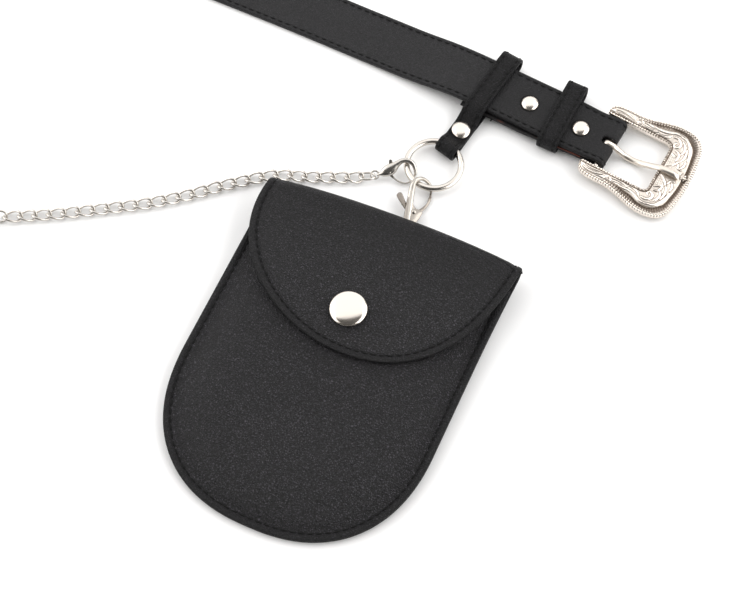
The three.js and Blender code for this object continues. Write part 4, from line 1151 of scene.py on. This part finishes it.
sewn_loop("hanger", hanger_side_view, HANGER_HALF, on_hanger, "hanger_loop")
RIVET_ALONG = -15.6
hanger_rivet_points, hanger_rivet_faces = rivet(top=3.4, bottom=0.6, size=1.12)
smooth_mesh("hanger_rivet_cap", on_hanger(hanger_rivet_points + (0, RIVET_ALONG, 0)), hanger_rivet_faces,
            rivet_nickel, "bright_nickel", stands_for=["hanger_rivet"])


# ---------------------------------------------------------------- keeper
# A closed loop of the same leather, its ends butted and sewn underneath; it slides on the belt.

KEEPER_X, KEEPER_Y, KEEPER_HEADING, KEEPER_HALF = 45.9, 151.95, math.radians(-3.5), 4.7
KEEPER_END, KEEPER_ROUND, KEEPER_LOW, KEEPER_HIGH = 16.75, 2.6, 0.7, 7.9


def keeper_quarter(side):
    """The lower half of one rounded end of the keeper, seen along the belt."""
    t = np.linspace(0, 1, 12)
    out = side * (KEEPER_END - KEEPER_ROUND * (1 - t) ** 2)
    rise = KEEPER_LOW + ((KEEPER_LOW + KEEPER_HIGH) / 2 - KEEPER_LOW) * t ** 2
    return np.column_stack([out, rise])


def upside_down(quarter):
    return np.column_stack([quarter[:, 0], KEEPER_LOW + KEEPER_HIGH - quarter[:, 1]])


def on_keeper(points):
    return np.asarray(points, float) @ turn_z(KEEPER_HEADING).T + (KEEPER_X, KEEPER_Y, 0)


near, far = keeper_quarter(-1), keeper_quarter(1)
keeper_view = np.concatenate([far, upside_down(far)[::-1][1:], upside_down(near), near[::-1][1:]])
keeper_view = even(np.concatenate([keeper_view, keeper_view[:1]]), 0.7)[:-1]
sewn_loop("keeper", keeper_view, KEEPER_HALF, on_keeper, "keeper_loop")


# ---------------------------------------------------------------- buckle
# A die-cast western buckle of antiqued nickel silver: a bellied frame with milled beads round both rims, a
# raised panel of scrolls and a fluted hollow, rubbed bright on top and left brown where it is deep.

BUCKLE_HEADING, BUCKLE_TILT, BUCKLE_TOP = math.radians(-5.7), math.radians(3), 2.0
RIM_TABLE = [  # outer along and across, inner along and across, width of the rim outside the raised panel
    (-6.95, 15.2, -6.7, 13.6, 0.8), (-6.2, 17.3, -5.6, 13.1, 1.6), (-4.2, 18.8, -3.8, 13.1, 1.8),
    (0, 19.4, 0, 13.1, 1.9), (7, 19.5, 6.5, 13.1, 2.2), (11.5, 20.2, 11, 13.1, 2.8),
    (16, 21.5, 15.5, 13.1, 3.6), (20.5, 22.8, 19, 13.1, 4.2), (25, 23.4, 20.8, 13.1, 3.7),
    (29.3, 23.15, 22.2, 13.0, 3.8), (33.1, 21.9, 23.3, 12.4, 4.4), (35.6, 19.6, 23.9, 11.6, 4.5),
    (37.1, 16.4, 24.1, 10.2, 4.0),
    (38.0, 10.6, 24.1, 7.4, 3.6), (38.6, 5.2, 24.1, 3.7, 3.5), (38.7, 0, 24.1, 0, 3.5)]
SCROLLS = [  # raised leaves: half-width, then their line, along and across
    (0.5, [(-4.3, 16.3), (-2.2, 16.9), (1.2, 16.7), (4.8, 15.6)]),
    (0.45, [(-3.6, 14.9), (-0.5, 15.2), (2.5, 14.8), (6.0, 14.6)]),
    (0.5, [(5.6, 16.4), (6.6, 17.2), (8.2, 17.1), (8.7, 16.0), (7.6, 15.5), (6.9, 16.2)]),
    (0.55, [(8.8, 15.2), (11.4, 14.7), (14.2, 14.9), (16.6, 15.8)]),
    (0.5, [(9.6, 17.0), (12.0, 16.9), (14.6, 16.3)]),
    (0.6, [(13.4, 17.2), (17.2, 16.9), (20.6, 17.6), (23.6, 18.9), (27.0, 18.9)]),
    (0.55, [(16.8, 14.7), (19.0, 14.6), (21.2, 15.5), (22.4, 17.0)]),
    (0.6, [(26.6, 18.7), (29.6, 17.9), (31.6, 15.4), (32.9, 12.2), (33.4, 9.0)]),
    (0.55, [(23.4, 16.8), (25.6, 16.9), (27.4, 15.4), (27.4, 13.4), (25.8, 12.6), (24.9, 13.7),
            (25.7, 14.7)]),
    (0.5, [(28.0, 16.6), (29.8, 14.6), (30.2, 12.0), (29.2, 9.9)]),
    (0.45, [(31.0, 14.0), (31.6, 11.4), (31.4, 8.8), (30.4, 6.6)]),
    (0.45, [(26.6, 11.2), (28.4, 10.6), (29.2, 8.6), (29.0, 6.4)]),
    (0.4, [(32.9, 8.2), (33.0, 5.8), (31.8, 3.6)]),
    (0.45, [(28.4, 8.0), (26.9, 8.6), (25.6, 9.6)]),
    (0.45, [(30.2, 6.6), (29.2, 4.8), (27.8, 3.4), (26.4, 2.6)]),
    (0.4, [(30.6, 5.6), (31.2, 3.8), (33.0, 3.2)])]
FLOWER_ALONG, FLOWER_ACROSS, FLOWER_RADIUS, PETALS = 35.2, 0.9, 1.7, 6
HATCH_ALONG, HATCH_ACROSS, HATCH_PITCH = (25.9, 29.0), (2.6, 8.0), 2.9
BEAD_PITCH, BEAD_IN, BEAD_RADIUS = 1.25, 0.5, 0.55
SECOND_IN, SECOND_RADIUS = 1.1, 0.5  # a second row of beads along the wide part of the frame
LEDGE, BEAD_LEDGE, INNER_LEDGE = 1.25, 1.2, 1.35
FLUTE_PITCH, STEP_WIDTH = 1.3, 0.09


def stroke_distance(spots, line):
    """Distance of every spot from a line, and the share along it of the nearest point."""
    line = even(round_path(line, between=5), 0.4)
    start, stop = line[:-1], line[1:]
    best, share = np.full(len(spots), 99.0), np.zeros(len(spots))
    for number, (a, b) in enumerate(zip(start, stop)):
        t = np.clip((spots - a) @ (b - a) / ((b - a) @ (b - a)), 0, 1)
        gap = np.linalg.norm(spots - a - t[:, None] * (b - a), axis=1)
        nearer = gap < best
        best[nearer] = gap[nearer]
        share[nearer] = (number + t[nearer]) / len(start)
    return best, share


def off_bead(run):
    """Distance along a rim from the nearest bead's middle."""
    return (run + BEAD_PITCH / 2) % BEAD_PITCH - BEAD_PITCH / 2


def beads(run, offset, radius):
    """Height of a row of beads over its ledge."""
    return np.sqrt(np.maximum(0, radius ** 2 - off_bead(run) ** 2 - offset ** 2))


def step_up(distance):
    """0 outside an edge and 1 inside it, over the width of a cast step."""
    return 1 / (1 + np.exp(np.clip(-distance / STEP_WIDTH, -40, 40)))


# The frame is a skin of rows right round the rim, each from the outer edge over the top to the inner edge.
ROW_STEP, PANEL_COLUMNS = 0.17, 46
half_rim = np.array(RIM_TABLE)
other_rim = half_rim[-2::-1] * (1, -1, 1, -1, 1)
rim = round_path(np.concatenate([half_rim, other_rim]), between=40)
rim_run = (run_of(rim[:, :2]) + run_of(rim[:, 2:4])) / 2
rim = at_run(np.linspace(0, rim_run[-1], int(rim_run[-1] / ROW_STEP)), rim_run, rim)
rim_outer, rim_inner, panel_inset = rim[:, :2], rim[:, 2:4], rim[:, 4:]
outer_run, inner_run = run_of(rim_outer)[:, None], run_of(rim_inner)[:, None]
rim_width = np.linalg.norm(rim_outer - rim_inner, axis=1)[:, None]
from_edge = np.array([0.12, 0.25, 0.38, 0.5, 0.62, 0.75, 0.88, 1.02, 1.2, 1.4])
squeeze = np.minimum(1, (rim_width - 0.3) / 3.2)
margin = from_edge[-1] * squeeze
between_margins = np.linspace(0, 1, PANEL_COLUMNS + 2)[1:-1] * (rim_width - 2 * from_edge[-1] * squeeze)
inset = np.concatenate([from_edge * squeeze, margin + between_margins,
                        rim_width - from_edge[::-1] * squeeze], axis=1)
inner_inset = rim_width - inset


def on_rim(insets):
    """Along and across, at insets from the outer edge towards the inner one."""
    return rim_outer[:, None] + (rim_inner - rim_outer)[:, None] * (insets / rim_width)[..., None]


along, sideways = on_rim(inset)[..., 0], on_rim(inset)[..., 1]
across = np.abs(sideways)

# The raised panel, and outside it the hollow with its flutes.
in_panel = inset - panel_inset
panel_edge = step_up(in_panel) * step_up(inner_inset - INNER_LEDGE)
panel_share = np.clip(in_panel / np.maximum(0.5, rim_width - panel_inset - INNER_LEDGE), 0, 1)
panel_rise = 1.42 + 0.3 * np.sin(math.pi * panel_share) + 0.14 * groove(in_panel - 0.35, 0.25)
hollow_share = np.clip((inset - 1.1) / np.maximum(0.3, panel_inset - 1.1), 0, 1)
wide = np.clip((panel_inset - 2.2) / 1.2, 0, 1)
flutes = np.cos(outer_run * 2 * math.pi / FLUTE_PITCH)
hollow = LEDGE - 0.75 * wide * np.sin(hollow_share * math.pi * 0.62) ** 1.5
hollow += 0.16 * wide * flutes * np.clip(hollow_share * 4, 0, 1)
relief = hollow * (1 - panel_edge) + panel_rise * panel_edge
relief = np.where(inner_inset < INNER_LEDGE, LEDGE, relief)

# The scrolls with their veins and ditches, the hatched ground and the flower on the end bar.
spots = np.stack([along.ravel(), across.ravel()], axis=1)
carving = np.zeros(len(spots))
for half_width, line in SCROLLS:
    gap, share = stroke_distance(spots, line)
    leaf_half = half_width * (0.35 + 0.65 * np.sin(math.pi * np.clip(share * 0.92 + 0.08, 0, 1)))
    leaf = 0.3 * np.sqrt(np.maximum(0, 1 - (gap / leaf_half) ** 2))
    vein = 0.1 * groove(gap, 0.1) * (half_width > 0.45)
    ditch = 0.17 * groove(gap - leaf_half - 0.16, 0.14)
    carving = np.where(gap < leaf_half, np.maximum(carving, leaf - vein), carving - ditch)
carving = carving.reshape(along.shape) * panel_edge
hatched = ((along > HATCH_ALONG[0]) & (along < HATCH_ALONG[1]) & (across > HATCH_ACROSS[0])
           & (across < HATCH_ACROSS[1]) & (carving < 0.02))
net = np.minimum(*(np.abs(np.sin(slant * HATCH_PITCH)) for slant in (along + across, along - across)))
carving = np.where(hatched, 0.16 * net - 0.12, carving)
bloom = np.hypot(along - FLOWER_ALONG, sideways - FLOWER_ACROSS)
turned_by = np.arctan2(sideways - FLOWER_ACROSS, along - FLOWER_ALONG)
petals = FLOWER_RADIUS * (0.82 + 0.18 * np.cos(turned_by * PETALS))
on_flower = bloom < petals
flower_dome = np.sqrt(np.maximum(0, 1 - (bloom / petals) ** 2))
relief = np.where(on_flower, 1.5 + 0.4 * flower_dome - 0.3 * groove(bloom - 0.6, 0.12), relief + carving)
relief -= 0.3 * groove(bloom - petals - 0.2, 0.15) * ~on_flower

# The beads in their rows, and the fine moats beside them.
second_row = ease(along, 4, 8) * (1 - ease(along, 28, 32))
from_second = inset - BEAD_IN - SECOND_IN
outer_beads = beads(outer_run, inset - BEAD_IN, BEAD_RADIUS)
inner_beads = beads(inner_run, inner_inset - BEAD_IN, BEAD_RADIUS)
second_beads = beads(outer_run + BEAD_PITCH / 2, from_second, SECOND_RADIUS) * second_row
for row in (outer_beads, inner_beads, second_beads):
    relief = np.where(row > 0.02, np.maximum(relief, BEAD_LEDGE + row), relief)
relief -= 0.18 * np.maximum(groove(inset - 1.3, 0.12), groove(inner_inset - 1.3, 0.12))
relief = np.minimum(relief, BUCKLE_TOP)

# What stays brown: whatever lies below its surroundings, the ground, the flutes and between the beads.
blurred = relief.copy()
for _ in range(10):
    blurred[1:-1] = (blurred[:-2] + blurred[2:] + blurred[1:-1]) / 3
    blurred[:, 1:-1] = (blurred[:, :-2] + blurred[:, 2:] + blurred[:, 1:-1]) / 3
deep = np.clip((blurred - relief) * 5.0, 0, 1)
ground = panel_edge * (carving < 0.03) * (0.12 + 0.26 * ease(along, 14, 24))
ground = np.where(hatched, 0.7 - 0.7 * net, ground)
in_hollow = wide * (1 - panel_edge) * np.clip(hollow_share * 5, 0, 1)
fluted = in_hollow * (0.5 + 0.4 * flutes)
for row, off_row in ((outer_beads, inset - BEAD_IN), (inner_beads, inner_inset - BEAD_IN),
                     (second_beads, from_second / np.maximum(second_row, 0.01))):
    lane = np.clip((0.62 - np.abs(off_row)) * 8, 0, 1)
    deep = np.maximum(deep, lane * np.clip(1 - row * 3.2, 0, 1) * 0.9)
deep = np.clip(np.maximum(deep, np.maximum(ground, fluted)), 0, 1)

# The side walls, from the top edge down and in (inset, height), browned where the beads' gaps run over them.
inner_wall = np.array([(0.05, 1.18), (0, 1.0), (-0.03, 0.6), (-0.03, 0.1), (0, -0.5), (0.12, -1.1),
                       (0.4, -1.55), (0.9, -1.78)])
outer_wall = inner_wall[::-1]
outer_in, inner_in = outer_wall[:, 0] * squeeze, rim_width - inner_wall[:, 0] * squeeze
outer_gaps, inner_gaps = (np.clip((np.abs(off_bead(run)) - 0.36) * 5, 0, 0.9)
                          for run in (outer_run, inner_run))
all_height = np.concatenate([np.broadcast_to(outer_wall[:, 1], outer_in.shape), relief,
                             np.broadcast_to(inner_wall[:, 1], inner_in.shape)], axis=1)
all_deep = np.concatenate([outer_gaps * np.clip((outer_wall[:, 1] - 0.3) * 2, 0, 1), deep,
                           inner_gaps * np.clip((inner_wall[:, 1] - 0.85) * 4, 0, 1)], axis=1)
all_flat = on_rim(np.concatenate([outer_in, inset, inner_in], axis=1))


def on_buckle(points):
    """From the buckle's own frame, x from its bar to its end bar, to the table."""
    points = np.asarray(points, float)
    c, s = math.cos(BUCKLE_TILT), math.sin(BUCKLE_TILT)
    leant = np.stack([points[..., 0] * c + points[..., 2] * s, points[..., 1],
                      points[..., 2] * c - points[..., 0] * s], axis=-1)
    return leant @ turn_z(BUCKLE_HEADING).T + (BAR_X, BAR_Y, BAR_HEIGHT)


BAR_HALF, BAR_RADIUS = 14.3, 1.1
frame_skin = stacked(np.concatenate([all_flat, all_height[..., None]], axis=-1))
buckle_bar = tube([(0, -BAR_HALF, 0), (0, BAR_HALF, 0)], BAR_RADIUS, BAR_RADIUS, (0, 0, 1), sides=24)
buckle_points, buckle_faces = together([frame_skin, buckle_bar])

# Bright worn nickel silver on the high parts, brown in the hollows that a cloth can't reach.
buckle_silver = Finish("antiqued_silver", Metallic=1.0)
mottled = buckle_silver.node("TexNoise", {},
                             {"Vector": buckle_silver.place(), "Scale": 900.0, "Detail": 3.0})
brown = buckle_silver.node("MapRange", {},
                           {0: buckle_silver.deep() + mottled * 0.35 - 0.17, 1: 0.12, 2: 0.85})
buckle_silver.drive("Base Color", buckle_silver.blend(brown, (0.92, 0.85, 0.775, 1), (0.15, 0.115, 0.09, 1)))
buckle_silver.drive("Roughness", 0.22 + brown * 0.3 + mottled * 0.08)
buckle_silver.emboss(0.05, 0.0001, mottled)
smooth_mesh("western_buckle", on_buckle(buckle_points), buckle_faces, buckle_silver, "buckle_silver",
            body="buckle_frame", stands_for=["buckle_frame"],
            deep=np.r_[all_deep.ravel(), np.zeros(len(buckle_bar[0]))])


# ---------------------------------------------------------------- prong
# A polished round bar, bent into an eye round the buckle's bar, which dips and rises again to its flattened
# tip on the end bar.

PRONG_HALF, EYE_RADIUS, EYE_HALF = 1.4, 2.05, 0.65
PRONG_BENDS = [  # along, up, half-thickness
    (2.3, 1.55, 0.72), (3.7, 0.85, 0.95), (5.4, -0.3, 1.2), (8.4, -1.55, 1.2), (11.4, -2.0, 1.2),
    (14.2, -1.72, 1.25), (17.0, -0.85, 1.25), (19.8, 0.45, 1.22), (22.4, 1.7, 1.05), (24.8, 3.1, 0.8),
    (27.6, 3.36, 1.0), (30.6, 3.4, 1.05), (32.2, 3.2, 0.85), (33.2, 2.9, 0.55)]
prong_eye = [(EYE_RADIUS * math.cos(a), EYE_RADIUS * math.sin(a), EYE_HALF)
             for a in np.radians(np.linspace(330, 75, 26))]
prong_rows = round_path(prong_eye + PRONG_BENDS, between=4)
prong_path = np.stack([prong_rows[:, 0], np.full(len(prong_rows), PRONG_ASIDE), prong_rows[:, 1]], axis=1)
prong_up = np.cross(unit(np.gradient(prong_path, axis=0)), (0, 1.0, 0))
prong_points, prong_faces = tube(prong_path, PRONG_HALF, prong_rows[:, 2], -prong_up, sides=28)
prong_silver = metal("prong_silver", (0.72, 0.66, 0.59, 1), 0.3)
smooth_mesh("prong", on_buckle(prong_points), prong_faces, prong_silver, "buckle_silver",
            body="buckle_prong", stands_for=["buckle_prong"])
